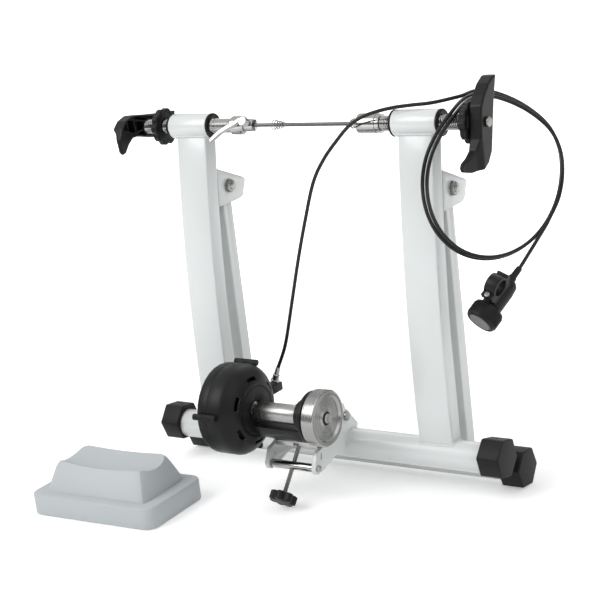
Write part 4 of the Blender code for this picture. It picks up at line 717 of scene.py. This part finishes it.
def floor():
    """A floor that goes white away from the trainer, for the camera and in mirror faces."""
    shape = bmesh.new()
    bmesh.ops.create_grid(shape, x_segments=8, y_segments=8, size=FLOOR_HALF)
    obj = from_bmesh("floor", shape)
    obj.data.transform(Matrix.Translation((0, 0, -FLOOR_DROP)))
    made, tree, shader, where = base("studio floor", (0.90, 0.90, 0.90))
    distance = put(tree, "ShaderNodeVectorMath", {0: where}, operation="LENGTH")["Value"]
    level = ranged(tree, distance, FLOOR_NEAR, FLOOR_FAR, FLOOR_GLOW, curve="SMOOTHSTEP")
    in_view = seen(tree, "Is Camera Ray", "Is Glossy Ray")
    fill(tree, shader, {
        "Roughness": 0.7,
        "Emission Color": (1, 1, 1, 1),
        "Emission Strength": calculated(tree, "MULTIPLY", in_view, level),
    })
    obj.data.materials.append(made)


# Cable: from the adjuster on the drum by a lead, a coil of loops and a tail to the remote
CABLE_R = 0.0024
ADJUSTER_AT = Vector((-0.0572, -0.0285, 0.142))
ADJUSTER_ALONG = Vector((0.345, 0.075, 0.935)).normalized()
ADJUSTER_SEAT = 0.0027
ADJUSTER_LENGTH = 0.0215
LEAD_ROUTE = (
    (-0.0412, -0.0245, 0.1810), (-0.0310, -0.0250, 0.2040), (-0.0130, -0.0280, 0.2550),
    (0.0080, -0.0300, 0.3180), (0.0260, -0.0300, 0.3700), (0.0430, -0.0260, 0.4200),
    (0.0590, -0.0200, 0.4490), (0.0760, -0.0120, 0.4710), (0.0940, -0.0040, 0.4900),
    (0.1140, 0.0040, 0.5005), (0.1410, 0.0150, 0.5065), (0.1670, 0.0240, 0.5085), (0.1940, 0.0330, 0.5095),
)
COIL_CENTRE = Vector((0.2605, 0.0539, 0.4109))
COIL_ACROSS = Vector((0.5, 0.8660254, 0.0))
COIL_NORMAL = Vector((0.8660254, -0.5, 0.0))
COIL_FROM = 100.0
COIL_TURNS = 2.4
COIL_POINTS = 20
COIL_R = 0.1045
COIL_DRAW_IN = 0.003
COIL_SPREAD = 0.0056
COIL_BEND = 0.040
COIL_BEND_AT = 74.0
COIL_BEND_HALF = 60.0
TAIL_POINTS = 8
LEAD_POINTS = 42
CABLE_POINTS = 420
REMOTE_AT = Vector((0.280, 0.060, 0.292))
REMOTE_ALONG = Vector((-0.309, -0.737, -0.601)).normalized()
REMOTE_SIDE = Vector((0.217, -0.670, 0.710))
REMOTE_SIDE = (REMOTE_SIDE - REMOTE_SIDE.dot(REMOTE_ALONG) * REMOTE_ALONG).normalized()


def coil_point(turns):
    """A point of the coil, after a number of turns. It bends away from the lever near its top."""
    degrees = COIL_FROM - 360.0 * turns
    angle = math.radians(degrees)
    radius = COIL_R - COIL_DRAW_IN * turns
    from_bend = (degrees - COIL_BEND_AT + 180.0) % 360.0 - 180.0
    bend = math.cos(math.radians(90.0 * min(abs(from_bend) / COIL_BEND_HALF, 1.0))) ** 2
    off = COIL_SPREAD * (turns - COIL_TURNS / 2) - COIL_BEND * bend
    return (
        COIL_CENTRE + COIL_ACROSS * radius * math.cos(angle) + Vector((0, 0, radius * math.sin(angle)))
        + COIL_NORMAL * off
    )


def cable_points():
    """The cable's whole centre line in the trainer's frame, from the adjuster's mouth to the remote."""
    mouth = ADJUSTER_AT + ADJUSTER_ALONG * (ADJUSTER_SEAT + ADJUSTER_LENGTH)
    count = int(COIL_POINTS * COIL_TURNS) + 1
    coil = [coil_point(i / COIL_POINTS) for i in range(count)]
    straight = 2 * CABLE_R
    start_way = (coil[1] - coil[0]).normalized()
    end_way = (coil[-1] - coil[-2]).normalized()
    route = [mouth, mouth + ADJUSTER_ALONG * straight, *[Vector(p) for p in LEAD_ROUTE]]
    route += [coil[0] - start_way * straight, coil[0]]
    lead = smooth_path(route, LEAD_POINTS)
    last = REMOTE_AT - REMOTE_ALONG * straight
    tail = smooth_path([coil[-1], coil[-1] + end_way * straight, last, REMOTE_AT], TAIL_POINTS)
    return smooth_path(lead[:-1] + coil + tail[1:], CABLE_POINTS)


def cable(settings):
    """The whole cable as one curve, from the drum's adjuster to the remote."""
    points = [AT + p for p in cable_points()]
    curve = bpy.data.curves.new("cable", "CURVE")
    curve.dimensions = "3D"
    curve.twist_mode = "MINIMUM"
    spline = curve.splines.new("POLY")
    spline.points.add(len(points) - 1)
    for point, at in zip(spline.points, points):
        point.co = (*at, 1)
    curve.bevel_depth = settings.radius
    curve.bevel_resolution = 5
    curve.use_fill_caps = True
    obj = baked(add("cable", curve))
    finish(obj, finishes()["cable"], "root", ["cable_lead", "cable_coil", "cable_tail"])
    length = sum((b - a).length for a, b in zip(points, points[1:]))
    return obj, points, length


# Remote: distances along it from the cable's end
DIAL_FROM = 0.0648
DIAL_R = 0.0199
RIBS_MIDDLE = DIAL_FROM + 0.0112
RIB_SIZE = (0.0018, 0.0016, 0.0155)
FACE_FROM = DIAL_FROM + 0.0216
CORD_NODES = ("remote_housing", "remote_dial", "clamp_strap", "clamp_screw")
CORD_PIECES = (
    "remote_housing_dressed", "clamp_strap_dressed", "clamp_screw_dressed", "dial", "dial_face",
    "remote_sleeve",
)


def on_remote(along):
    """The place of a shape whose Z is to run along the remote, from a distance along it."""
    start = AT + (REMOTE_AT + REMOTE_ALONG * along)
    return Matrix.Translation(start) @ frame_along(REMOTE_ALONG, REMOTE_SIDE)


def remote(settings):
    """The remote's housing and clamp, and its dial with grip ribs and a pale end face."""
    made = finishes()
    dressed("remote_housing", made["remote"], "root", 0.0006, 3, 30)
    dressed("clamp_strap", made["remote"], "clamp_strap", 0.0005)
    dressed("clamp_screw", made["zinc"], "clamp_screw", 0.0003)
    profile = [
        (0.0002, 0.0), (0.0002, 0.0185), (0.0010, 0.0196), (0.0030, DIAL_R), (0.0196, DIAL_R),
        (0.0212, 0.0194), (0.0222, 0.0183), (0.0226, 0.0170), (0.0222, 0.0158), (0.0214, 0.0154),
        (0.0214, 0.0),
    ]
    body = turned("dial_body", profile, on_remote(DIAL_FROM))
    tree, keys = ring_tree()
    ribs = run_tree(empty_mesh("dial_ribs"), tree, keys, {
        "Count": settings.ribs, "Radius": DIAL_R, "Rib": RIB_SIZE, "Finish": made["remote"],
    })
    ribs.data.transform(on_remote(RIBS_MIDDLE))
    soft = ribs.modifiers.new("edge", "BEVEL")
    soft.width = 0.0004
    soft.segments = 2
    dial = joined("dial", [body, baked(ribs)])
    finish(dial, made["remote"], "remote_dial", ["remote_dial"])
    disc = [
        (0.0, 0.0), (0.0, 0.0150), (0.0006, 0.0150), (0.0009, 0.0145), (0.0009, 0.0085), (0.0005, 0.0078),
        (0.0005, 0.0),
    ]
    face = turned("dial_face", disc, on_remote(FACE_FROM))
    finish(face, made["face"], "remote_dial", ())
    boot = [
        (-0.002, 0.0026), (-0.002, 0.0036), (0.0, 0.0040), (0.012, 0.0044), (0.013, 0.0052),
        (0.0145, 0.0055), (0.0145, 0.0026),
    ]
    sleeve = turned("remote_sleeve", boot, on_remote(0.0), 48)
    finish(sleeve, made["remote"], "root", ())


# Frame: the painted pieces with their bodies, and the sizes of its welds. A bead's step is in its radii
DRESSED_FRAME = (
    ("front_base_tube", "root"), ("rear_base_tube", "rear_frame"), ("left_upright", "root"),
    ("right_upright", "root"), ("left_barrel", "root"), ("right_barrel", "root"), ("left_bracket", "root"),
    ("right_bracket", "root"), ("left_rear_leg", "rear_frame"), ("right_rear_leg", "rear_frame"),
)
TUBE_R = 0.020
BARREL_R = 0.017
UPRIGHT_BOW = (0.00116, -0.039, 0.227)
UPRIGHT_HALF_WIDTH = 0.025
UPRIGHT_HALF_DEPTH = 0.0125
UPRIGHT_FOOT = 0.018
UPRIGHT_TOP = 0.4146
LEG_HALF_WIDTH = 0.019
LEG_DEPTH = (0.0385, 0.0585)
ARM_SIDES = (0.0337, 0.0403)
ARM_WELD_DEGREES = range(35, 150, 6)
BRACKET_HEIGHTS = (0.378, 0.421)
BRACKET_INSET = 0.0004
BRACKET_WELD_BACK = 0.0127
WELD_POINTS = 14
BEAD_STEP = 1.24


def upright_centre(height):
    """Y of an upright's centre line at a height above the front base tube's axis."""
    foot, lean, bow = UPRIGHT_BOW
    return foot + lean * height + bow * height * height


def rectangle(x0, x1, y0, y1):
    """Points round a rectangle in X and Y, corners included."""
    corners = [(x0, y0), (x1, y0), (x1, y1), (x0, y1)]
    points = []
    for (ax, ay), (bx, by) in zip(corners, corners[1:] + corners[:1]):
        for i in range(WELD_POINTS):
            points.append((ax + (bx - ax) * i / WELD_POINTS, ay + (by - ay) * i / WELD_POINTS))
    return points


def on_tube(points, axis, radius, above):
    """The points moved up or down to the surface of a tube along X, above its axis or below it."""
    sign = 1 if above else -1
    lifted = []
    for x, y in points:
        inside = max(radius * radius - (y - axis[0]) ** 2, 0.0)
        lifted.append((x, y, axis[1] + sign * math.sqrt(inside)))
    return lifted


def weld_paths(rear):
    """The lines that the weld beads follow, on the fixed frame or on the rear frame."""
    paths = []
    for sign in SIDES.values():
        middle = sign * UPRIGHT_X
        if rear:
            leg = rectangle(middle - LEG_HALF_WIDTH, middle + LEG_HALF_WIDTH, *LEG_DEPTH)
            paths.append((on_tube(leg, REAR_TUBE, TUBE_R, True), True))
            continue
        x0, x1 = middle - UPRIGHT_HALF_WIDTH, middle + UPRIGHT_HALF_WIDTH
        ends = ((UPRIGHT_FOOT, FRONT_TUBE, TUBE_R, True), (UPRIGHT_TOP, AXLE, BARREL_R, False))
        for height, axis, radius, above in ends:
            y = upright_centre(height)
            outline = rectangle(x0, x1, y - UPRIGHT_HALF_DEPTH, y + UPRIGHT_HALF_DEPTH)
            paths.append((on_tube(outline, axis, radius, above), True))
        for x in ARM_SIDES:
            ring = []
            for degrees in ARM_WELD_DEGREES:
                a = math.radians(degrees)
                y, z = FRONT_TUBE[0] + TUBE_R * math.cos(a), FRONT_TUBE[1] + TUBE_R * math.sin(a)
                ring.append((sign * x, y, z))
            paths.append((ring, False))
        for x in (x0 + BRACKET_INSET, x1 - BRACKET_INSET):
            back = []
            for z in np.linspace(*BRACKET_HEIGHTS, WELD_POINTS):
                back.append((x, upright_centre(z - FRONT_TUBE[1]) + BRACKET_WELD_BACK, z))
            paths.append((back, False))
    return paths


def frame_pieces(settings):
    """The painted steel frame with its weld beads, and its pivot bolts."""
    made = finishes()
    for node, body in DRESSED_FRAME:
        dressed(node, made["paint"], body, settings.edge)
    tree, keys = bead_tree()
    for name, body, rear in (("frame_welds", "root", False), ("rear_frame_welds", "rear_frame", True)):
        beads = run_tree(polyline(name, weld_paths(rear)), tree, keys, {
            "Radius": settings.weld, "Step": BEAD_STEP * settings.weld, "Finish": made["paint"],
        })
        finish(beads, made["paint"], body, ())
    for side in SIDES:
        dressed(f"{side}_fold_bolt", made["zinc"], "root", 0.0004)
        finish(bolt_ends(side), made["zinc"], "root", ())


# The pivot bolts' washers and ends, outside the brackets' cheeks
FOLD = (0.050, 0.3974)
CHEEK = 0.0247
BOLT_HEAD = 0.0055
WASHER_R = 0.0096


def bolt_ends(side):
    """A washer under the nut on each cheek, and the bolt's domed end with its turned groove."""
    washer = [
        (CHEEK + 0.0002, 0.0050), (CHEEK + 0.0002, WASHER_R), (CHEEK + 0.0007, WASHER_R + 0.0002),
        (CHEEK + 0.0012, WASHER_R - 0.0004), (CHEEK + 0.0012, 0.0050),
    ]
    out = CHEEK + BOLT_HEAD
    end = [
        (out - 0.001, 0.0), (out - 0.001, 0.0056), (out + 0.0004, 0.0054), (out + 0.0002, 0.0048),
        (out + 0.0012, 0.0044), (out + 0.0017, 0.0032), (out + 0.0019, 0.0),
    ]
    pieces = []
    for way in (-1, 1):
        place = along_x(FOLD, way, SIDES[side] * UPRIGHT_X)
        pieces += [turned("washer", washer, place, 48), turned("bolt_end", end, place, 32)]
    return joined(f"{side}_bolt_ends", pieces)


def feet():
    """The four hexagonal end caps."""
    rubber = finishes()["rubber"]
    for side in SIDES:
        dressed(f"{side}_front_foot", rubber, f"{side}_front_foot", 0.0010, 3)
        dressed(f"{side}_rear_foot", rubber, "rear_frame", 0.0010, 3)


# Axle clamps: stations outwards from the trainer's middle, and radii about the axle
SPINDLE_R = 0.0098
CUP_IN = {"left": 0.089, "right": 0.0885}
CUP_OUT = {"left": 0.1085, "right": 0.119}
CUP_R = {"left": 0.0125, "right": 0.013}
COLLAR = {"left": 0.0, "right": 0.006}
CUP_STEM_END = 0.1405
LEVER_IN = 0.256
LEVER_WEB = 0.004
KNOB_IN = {"left": 0.224, "right": 0.2465}
KNOB_R = {"left": 0.0255, "right": 0.0265}
KNOB_WIDTH = 0.0088
KNOB_LOBES = 10
KNOB_LOBE_DEPTH = 0.00247
KNOB_GRIP_SHARE = 0.7
THREAD_STEPS = 8
THREAD_ROOT = 0.36


def thread_rim(pitch, depth, root, crest_r, start):
    """A rim for turned(): a thread from a station on, whose V-shaped roots are 2 * root pitches wide."""
    def rim(angle, station, radius):
        if station < start or radius < crest_r:
            return radius
        phase = (station / pitch - angle / (2 * math.pi)) % 1.0
        return radius - depth * max(0.0, 1.0 - abs(phase - 0.5) / root)
    return rim


def lobed_rim(count, depth, power, least_r):
    """A rim for turned(): a grip's lobes, with hollows between them, on what lies outside a radius."""
    def rim(angle, station, radius):
        if radius < least_r:
            return radius
        return radius - depth * (0.5 - 0.5 * math.cos(count * angle)) ** power
    return rim


def threaded(settings, name, head, start, end, tail, sign):
    """A turned piece with a thread from start to end, between two plain profiles. Stations grow outwards."""
    step = settings.pitch / THREAD_STEPS
    count = int((end - start) / step)
    rows = [(start + i * step, SPINDLE_R) for i in range(count)] + [(end, SPINDLE_R - settings.depth)]
    rim = thread_rim(settings.pitch, settings.depth, THREAD_ROOT, SPINDLE_R, start)
    return turned(name, head + rows + tail, along_x(AXLE, sign), 72, rim)


def cup(settings, side):
    """The cup that holds the hub's end, with the right cup's collar, and its threaded stem."""
    inner, outer, radius = CUP_IN[side], CUP_OUT[side], CUP_R[side]
    start = outer + COLLAR[side]
    head = [
        (inner + 0.009, 0.0), (inner + 0.009, 0.0078), (inner + 0.0012, 0.0078), (inner, 0.0084),
        (inner, 0.0088), (inner + 0.0004, 0.0093), (inner + 0.0034, 0.0123), (inner + 0.0040, radius),
        (outer - 0.0006, radius), (outer, radius - 0.0006),
    ]
    if COLLAR[side]:
        head += [(outer, 0.0117), (outer + 0.0006, 0.0123), (start - 0.0006, 0.0123), (start, 0.0117)]
    head.append((start, SPINDLE_R - 0.001))
    end = CUP_STEM_END
    tail = [(end, SPINDLE_R - 0.0014), (end, 0.0)]
    return threaded(settings, f"{side}_cup_turned", head, start + 0.0003, end - 0.0004, tail, SIDES[side])


def spindle(settings, side):
    """The threaded bar from the cup to the lever, with the hole for the lever's screw."""
    first, end = CUP_STEM_END + 0.0003, LEVER_IN + LEVER_WEB
    head = [(first, 0.0), (first, SPINDLE_R - 0.0014)]
    tail = [(end, SPINDLE_R - 0.0016), (end, 0.0034), (end - 0.006, 0.0034), (end - 0.006, 0.0)]
    return threaded(settings, f"{side}_spindle_turned", head, first + 0.0006, end - 0.0004, tail, SIDES[side])


def lock_knob(side):
    """The lobed knob on the spindle, with a ring sunk in each face."""
    x0, x1, radius = KNOB_IN[side], KNOB_IN[side] + KNOB_WIDTH, KNOB_R[side]
    half = [
        (0.0, SPINDLE_R + 0.0004), (0.0, 0.0150), (0.0008, 0.0160), (0.0008, 0.0205), (0.0, 0.0213),
        (0.0, radius - 0.0016), (0.0004, radius - 0.0007), (0.0012, radius),
    ]
    profile = [(x0 + x, r) for x, r in half] + [(x1 - x, r) for x, r in reversed(half)]
    rim = lobed_rim(KNOB_LOBES, KNOB_LOBE_DEPTH, 2, KNOB_GRIP_SHARE * radius)
    return turned(f"{side}_lock_knob_turned", profile, along_x(AXLE, SIDES[side]), 240, rim)


def clamps(settings):
    """Both axle clamps: cup, spindle, bush, lock knob, lever and screw."""
    made = finishes()
    for side in SIDES:
        finish(cup(settings, side), made["chrome"], f"{side}_cup", [f"{side}_cup"])
        finish(spindle(settings, side), made["chrome"], f"{side}_spindle", [f"{side}_spindle"])
        dressed(f"{side}_barrel_bush", made["bush"], "root", 0.0004)
        finish(lock_knob(side), made["knob"], f"{side}_lock_knob", [f"{side}_lock_knob"])
        cast(f"{side}_lever", made["casting"], f"{side}_spindle")
        dressed(f"{side}_lever_screw", made["zinc"], f"{side}_spindle", 0.0003)


# Quick-release skewer. Each spring: from, to, turns, and the spiral's radius at each end
SPRINGS = {"left": (-0.0438, -0.0261, 5.0, 0.0068, 0.0036), "right": (0.0774, 0.0828, 3.0, 0.0036, 0.0068)}
SPRING_WIRE = 0.00055
ROD_FROM = -0.0745
ROD_LIMIT = 0.0032


def skewer():
    """The skewer with its cam lever and nut, and two conical springs."""
    made = finishes()
    skewer_piece = dressed("skewer", made["chrome"], "skewer", 0.0003)
    skewer_piece.data.materials.append(made["rod"])
    for face in skewer_piece.data.polygons:
        at = face.center - AT
        if at.x > ROD_FROM and math.hypot(at.y - AXLE[0], at.z - AXLE[1]) < ROD_LIMIT:
            face.material_index = 1
    cast("qr_lever", made["chrome"], "qr_lever", 0.00045, 16)
    dressed("skewer_nut", made["chrome"], "skewer_nut", 0.0003)
    tree, keys = spring_tree()
    for side, (x0, x1, turns, start, end) in SPRINGS.items():
        spring = run_tree(empty_mesh(f"{side}_spring_wire"), tree, keys, {
            "Turns": turns, "Start radius": start, "End radius": end, "Length": x1 - x0, "Wire": SPRING_WIRE,
            "Finish": made["zinc"],
        })
        spring.data.transform(along_x(AXLE) @ Matrix.Translation((0, 0, x0)))
        finish(spring, made["zinc"], "skewer", [f"{side}_skewer_spring"])


# Resistance unit
SHAFT_BORE = 0.0053
RIM_GROOVES = 6
FACE_AT = 0.0745
FACE_RADII = (0.0125, 0.0286)
BOSS_DEGREES = (54, 172, 292)
BOSS_CIRCLE = 0.0645


def flywheel_profile(grooves):
    """The flywheel's section: rounded rim, a turned face with grooves, and a hub round the screw."""
    profile = [(0.060, SHAFT_BORE), (0.060, 0.0352), (0.0604, 0.0362), (0.0612, 0.0369)]
    for i in range(RIM_GROOVES):
        at = 0.0630 + 0.0022 * i
        profile += [(at, 0.0370), (at + 0.0003, 0.03675), (at + 0.0006, 0.0370)]
    profile += [(0.0768, 0.0369), (0.0776, 0.0362), (0.078, 0.0352), (0.078, 0.0316), (0.0776, 0.0308),
                (0.0750, 0.0292)]
    inner, outer = FACE_RADII
    step = (outer - inner) / grooves
    for i in range(grooves):
        r = outer - step * i
        profile += [(FACE_AT, r), (FACE_AT, r - 0.55 * step), (FACE_AT - 0.0002, r - 0.70 * step),
                    (FACE_AT - 0.0002, r - 0.85 * step)]
    profile += [(FACE_AT, 0.0122), (0.0752, 0.0115), (0.0761, 0.0110), (0.0763, 0.0104), (0.0763, 0.0096),
                (0.0758, 0.0090), (0.0685, 0.0090), (0.0685, SHAFT_BORE)]
    return profile


def resistance_unit(settings):
    """The magnet drum, its cradle, roller, flywheel, shaft and cable adjuster."""
    made = finishes()
    for node, edge in (("outer_casing", 0.0009), ("inner_casing", 0.0007), ("end_guard", 0.0006)):
        dressed(node, made["casing"], "yoke", edge, 3)
    dressed("cradle", made["cradle"], "yoke", 0.0010, 3)
    for node, look, body in (
        ("fixed_magnet_plate", "magnet", "yoke"), ("left_bearing", "roller", "yoke"),
        ("right_bearing", "roller", "yoke"), ("moving_magnet_plate", "magnet", "moving_magnet_plate"),
        ("shaft", "roller", "roller_shaft"), ("rotor", "roller", "roller_shaft"),
    ):
        dressed(node, made[look], body, 0.0003)
    barrel = [
        (-0.029, SHAFT_BORE), (-0.029, 0.0121), (-0.0286, 0.0126), (-0.0280, 0.0130), (0.0360, 0.0130),
        (0.0366, 0.0126), (0.037, 0.0121), (0.037, SHAFT_BORE),
    ]
    roller = turned("roller_turned", barrel, along_x(DRUM))
    finish(roller, made["roller"], "roller_shaft", ["roller"])
    wheel = turned("flywheel_turned", flywheel_profile(settings.grooves), along_x(DRUM), 128)
    finish(wheel, made["flywheel"], "roller_shaft", ["flywheel"])
    dressed("cable_adjuster", made["chrome"], "cable_adjuster", 0.0003)
    head = [
        (-0.0836, 0.0), (-0.0836, 0.0007), (-0.0849, 0.0008), (-0.0849, 0.0013), (-0.0845, 0.00155),
        (-0.0824, 0.00155), (-0.0824, 0.0),
    ]
    screws = []
    for degrees in BOSS_DEGREES:
        a = math.radians(degrees)
        centre = (DRUM[0] + BOSS_CIRCLE * math.cos(a), DRUM[1] + BOSS_CIRCLE * math.sin(a))
        screws.append(turned("boss_screw", head, along_x(centre), 24))
    finish(joined("boss_screws", screws), made["zinc"], "yoke", ())


# Roller adjuster: distances up the rod from the trunnion's middle
TRUNNION = (-0.0866, 0.0511)
ROD_ALONG = Vector((0.0, 0.676, 0.737)).normalized()
ROD_LOW = -0.0494
ROD_HIGH = 0.031
ROD_R = 0.003
ROD_END_R = 0.0026
ROD_PITCH = 0.001
ROD_THREAD = 0.0004
ROD_THREAD_STEPS = 6
ROD_THREAD_ROOT = 0.4
STAR_AT = -0.046
STAR_HALF = 0.0064
STAR_R = 0.0185
STAR_BORE = 0.0034
STAR_LOBES = 7
STAR_LOBE_DEPTH = 0.0042
STAR_LOBE_POWER = 1.6
STAR_GRIP_R = 0.014


def up_rod(distance):
    """The place of a shape whose Z is to run up the adjuster rod, from a distance up it."""
    start = AT + Vector((0.0, *TRUNNION)) + ROD_ALONG * distance
    return Matrix.Translation(start) @ frame_along(ROD_ALONG)


def adjuster():
    """The yoke on its pivot, the trunnion and swivel pins, the adjuster rod and the star knob."""
    made = finishes()
    dressed("yoke", made["yoke"], "yoke")
    dressed("yoke_pivot_bolt", made["zinc"], "root", 0.0005)
    dressed("trunnion", made["chrome"], "trunnion", 0.0004)
    dressed("swivel_pin", made["zinc"], "swivel_pin", 0.0002)
    step = ROD_PITCH / ROD_THREAD_STEPS
    rows = [(ROD_LOW + i * step, ROD_R) for i in range(1, int((ROD_HIGH - ROD_LOW) / step))]
    profile = [(ROD_LOW, 0.0), (ROD_LOW, ROD_END_R), *rows, (ROD_HIGH, ROD_END_R), (ROD_HIGH, 0.0)]
    rim = thread_rim(ROD_PITCH, ROD_THREAD, ROD_THREAD_ROOT, ROD_R, ROD_LOW)
    rod = turned("adjuster_screw", profile, up_rod(0.0), 36, rim)
    finish(rod, made["zinc"], "star_knob", ["adjuster_rod"])
    half = STAR_HALF
    profile = [
        (-half, 0.0), (-half, 0.0150), (-half + 0.0006, 0.0172), (-half + 0.0016, STAR_R),
        (half - 0.0016, STAR_R), (half - 0.0006, 0.0172), (half, 0.0150), (half, 0.0075),
        (half - 0.0004, 0.0070), (half - 0.0004, STAR_BORE), (-half + 0.0027, STAR_BORE),
        (-half + 0.0027, 0.0),
    ]
    rim = lobed_rim(STAR_LOBES, STAR_LOBE_DEPTH, STAR_LOBE_POWER, STAR_GRIP_R)
    knob = turned("star_knob_turned", profile, up_rod(STAR_AT), 210, rim)
    finish(knob, made["knob"], "star_knob", ["star_knob"])


def riser(settings):
    """The loose block for the front wheel."""
    dressed("riser_block", finishes()["block"], "riser_block", settings.round, 3, 25)


# Operators and panel
class TRAINER_OT_stage(bpy.types.Operator):
    """Makes the floor, the lamps, the world and the camera."""
    bl_idname = "trainer.stage"
    bl_label = "Stage"

    def execute(self, context):
        context.scene.view_settings.view_transform = "Standard"
        camera_and_lamps(context.scene.trainer_stage)
        studio_world()
        floor()
        return {"FINISHED"}


class TRAINER_OT_cable(bpy.types.Operator):
    """Makes the cable and the remote on its end."""
    bl_idname = "trainer.cable"
    bl_label = "Cable and remote"

    def execute(self, context):
        settings = context.scene.trainer_cable
        obj, points, length = cable(settings)
        remote(settings)
        on_it = [frame["nodes"][n] for n in CORD_NODES if not frame["nodes"][n].hide_render]
        on_it += [bpy.data.objects[n] for n in CORD_PIECES]
        return {"FINISHED"}


class TRAINER_OT_frame(bpy.types.Operator):
    """Dresses the painted frame and makes its weld beads."""
    bl_idname = "trainer.frame"
    bl_label = "Frame"

    def execute(self, context):
        frame_pieces(context.scene.trainer_frame)
        return {"FINISHED"}


class TRAINER_OT_feet(bpy.types.Operator):
    """Dresses the four levelling feet."""
    bl_idname = "trainer.feet"
    bl_label = "Feet"

    def execute(self, context):
        feet()
        return {"FINISHED"}


class TRAINER_OT_clamps(bpy.types.Operator):
    """Makes both axle clamps with their threads, knobs and levers."""
    bl_idname = "trainer.clamps"
    bl_label = "Axle clamps"

    def execute(self, context):
        clamps(context.scene.trainer_clamps)
        return {"FINISHED"}


class TRAINER_OT_skewer(bpy.types.Operator):
    """Makes the quick-release skewer with its springs."""
    bl_idname = "trainer.skewer"
    bl_label = "Skewer"

    def execute(self, context):
        skewer()
        return {"FINISHED"}


class TRAINER_OT_resistance_unit(bpy.types.Operator):
    """Makes the magnet drum, the roller and the flywheel."""
    bl_idname = "trainer.resistance_unit"
    bl_label = "Resistance unit"

    def execute(self, context):
        resistance_unit(context.scene.trainer_drum)
        return {"FINISHED"}


class TRAINER_OT_adjuster(bpy.types.Operator):
    """Makes the yoke and the screw that presses the roller to the tyre."""
    bl_idname = "trainer.adjuster"
    bl_label = "Roller adjuster"

    def execute(self, context):
        adjuster()
        return {"FINISHED"}


class TRAINER_OT_riser(bpy.types.Operator):
    """Dresses the riser block."""
    bl_idname = "trainer.riser"
    bl_label = "Riser block"

    def execute(self, context):
        riser(context.scene.trainer_block)
        return {"FINISHED"}


OPERATORS = (
    TRAINER_OT_stage, TRAINER_OT_cable, TRAINER_OT_frame, TRAINER_OT_feet, TRAINER_OT_clamps,
    TRAINER_OT_skewer, TRAINER_OT_resistance_unit, TRAINER_OT_adjuster, TRAINER_OT_riser,
)
SETTINGS = {
    "trainer_frame": FrameSettings, "trainer_clamps": ClampSettings, "trainer_drum": DrumSettings,
    "trainer_cable": CableSettings, "trainer_block": BlockSettings, "trainer_stage": StageSettings,
}


class TRAINER_PT_panel(bpy.types.Panel):
    """Lists the trainer's operators."""
    bl_idname = "TRAINER_PT_panel"
    bl_label = "Bike trainer"
    bl_space_type = "VIEW_3D"
    bl_region_type = "UI"
    bl_category = "Trainer"

    def draw(self, context):
        for operator in OPERATORS:
            self.layout.operator(operator.bl_idname)


def register():
    for name, settings in SETTINGS.items():
        bpy.utils.register_class(settings)
        setattr(bpy.types.Scene, name, bpy.props.PointerProperty(type=settings))
    for made in (*OPERATORS, TRAINER_PT_panel):
        bpy.utils.register_class(made)


def unregister():
    for made in (TRAINER_PT_panel, *OPERATORS[::-1]):
        bpy.utils.unregister_class(made)
    for name, settings in SETTINGS.items():
        delattr(bpy.types.Scene, name)
        bpy.utils.unregister_class(settings)


def main():
    register()
    bpy.ops.trainer.stage()
    bpy.ops.trainer.cable()
    bpy.ops.trainer.frame()
    bpy.ops.trainer.feet()
    bpy.ops.trainer.clamps()
    bpy.ops.trainer.skewer()
    bpy.ops.trainer.resistance_unit()
    bpy.ops.trainer.adjuster()
    bpy.ops.trainer.riser()


if __name__ == "__main__":
    main()
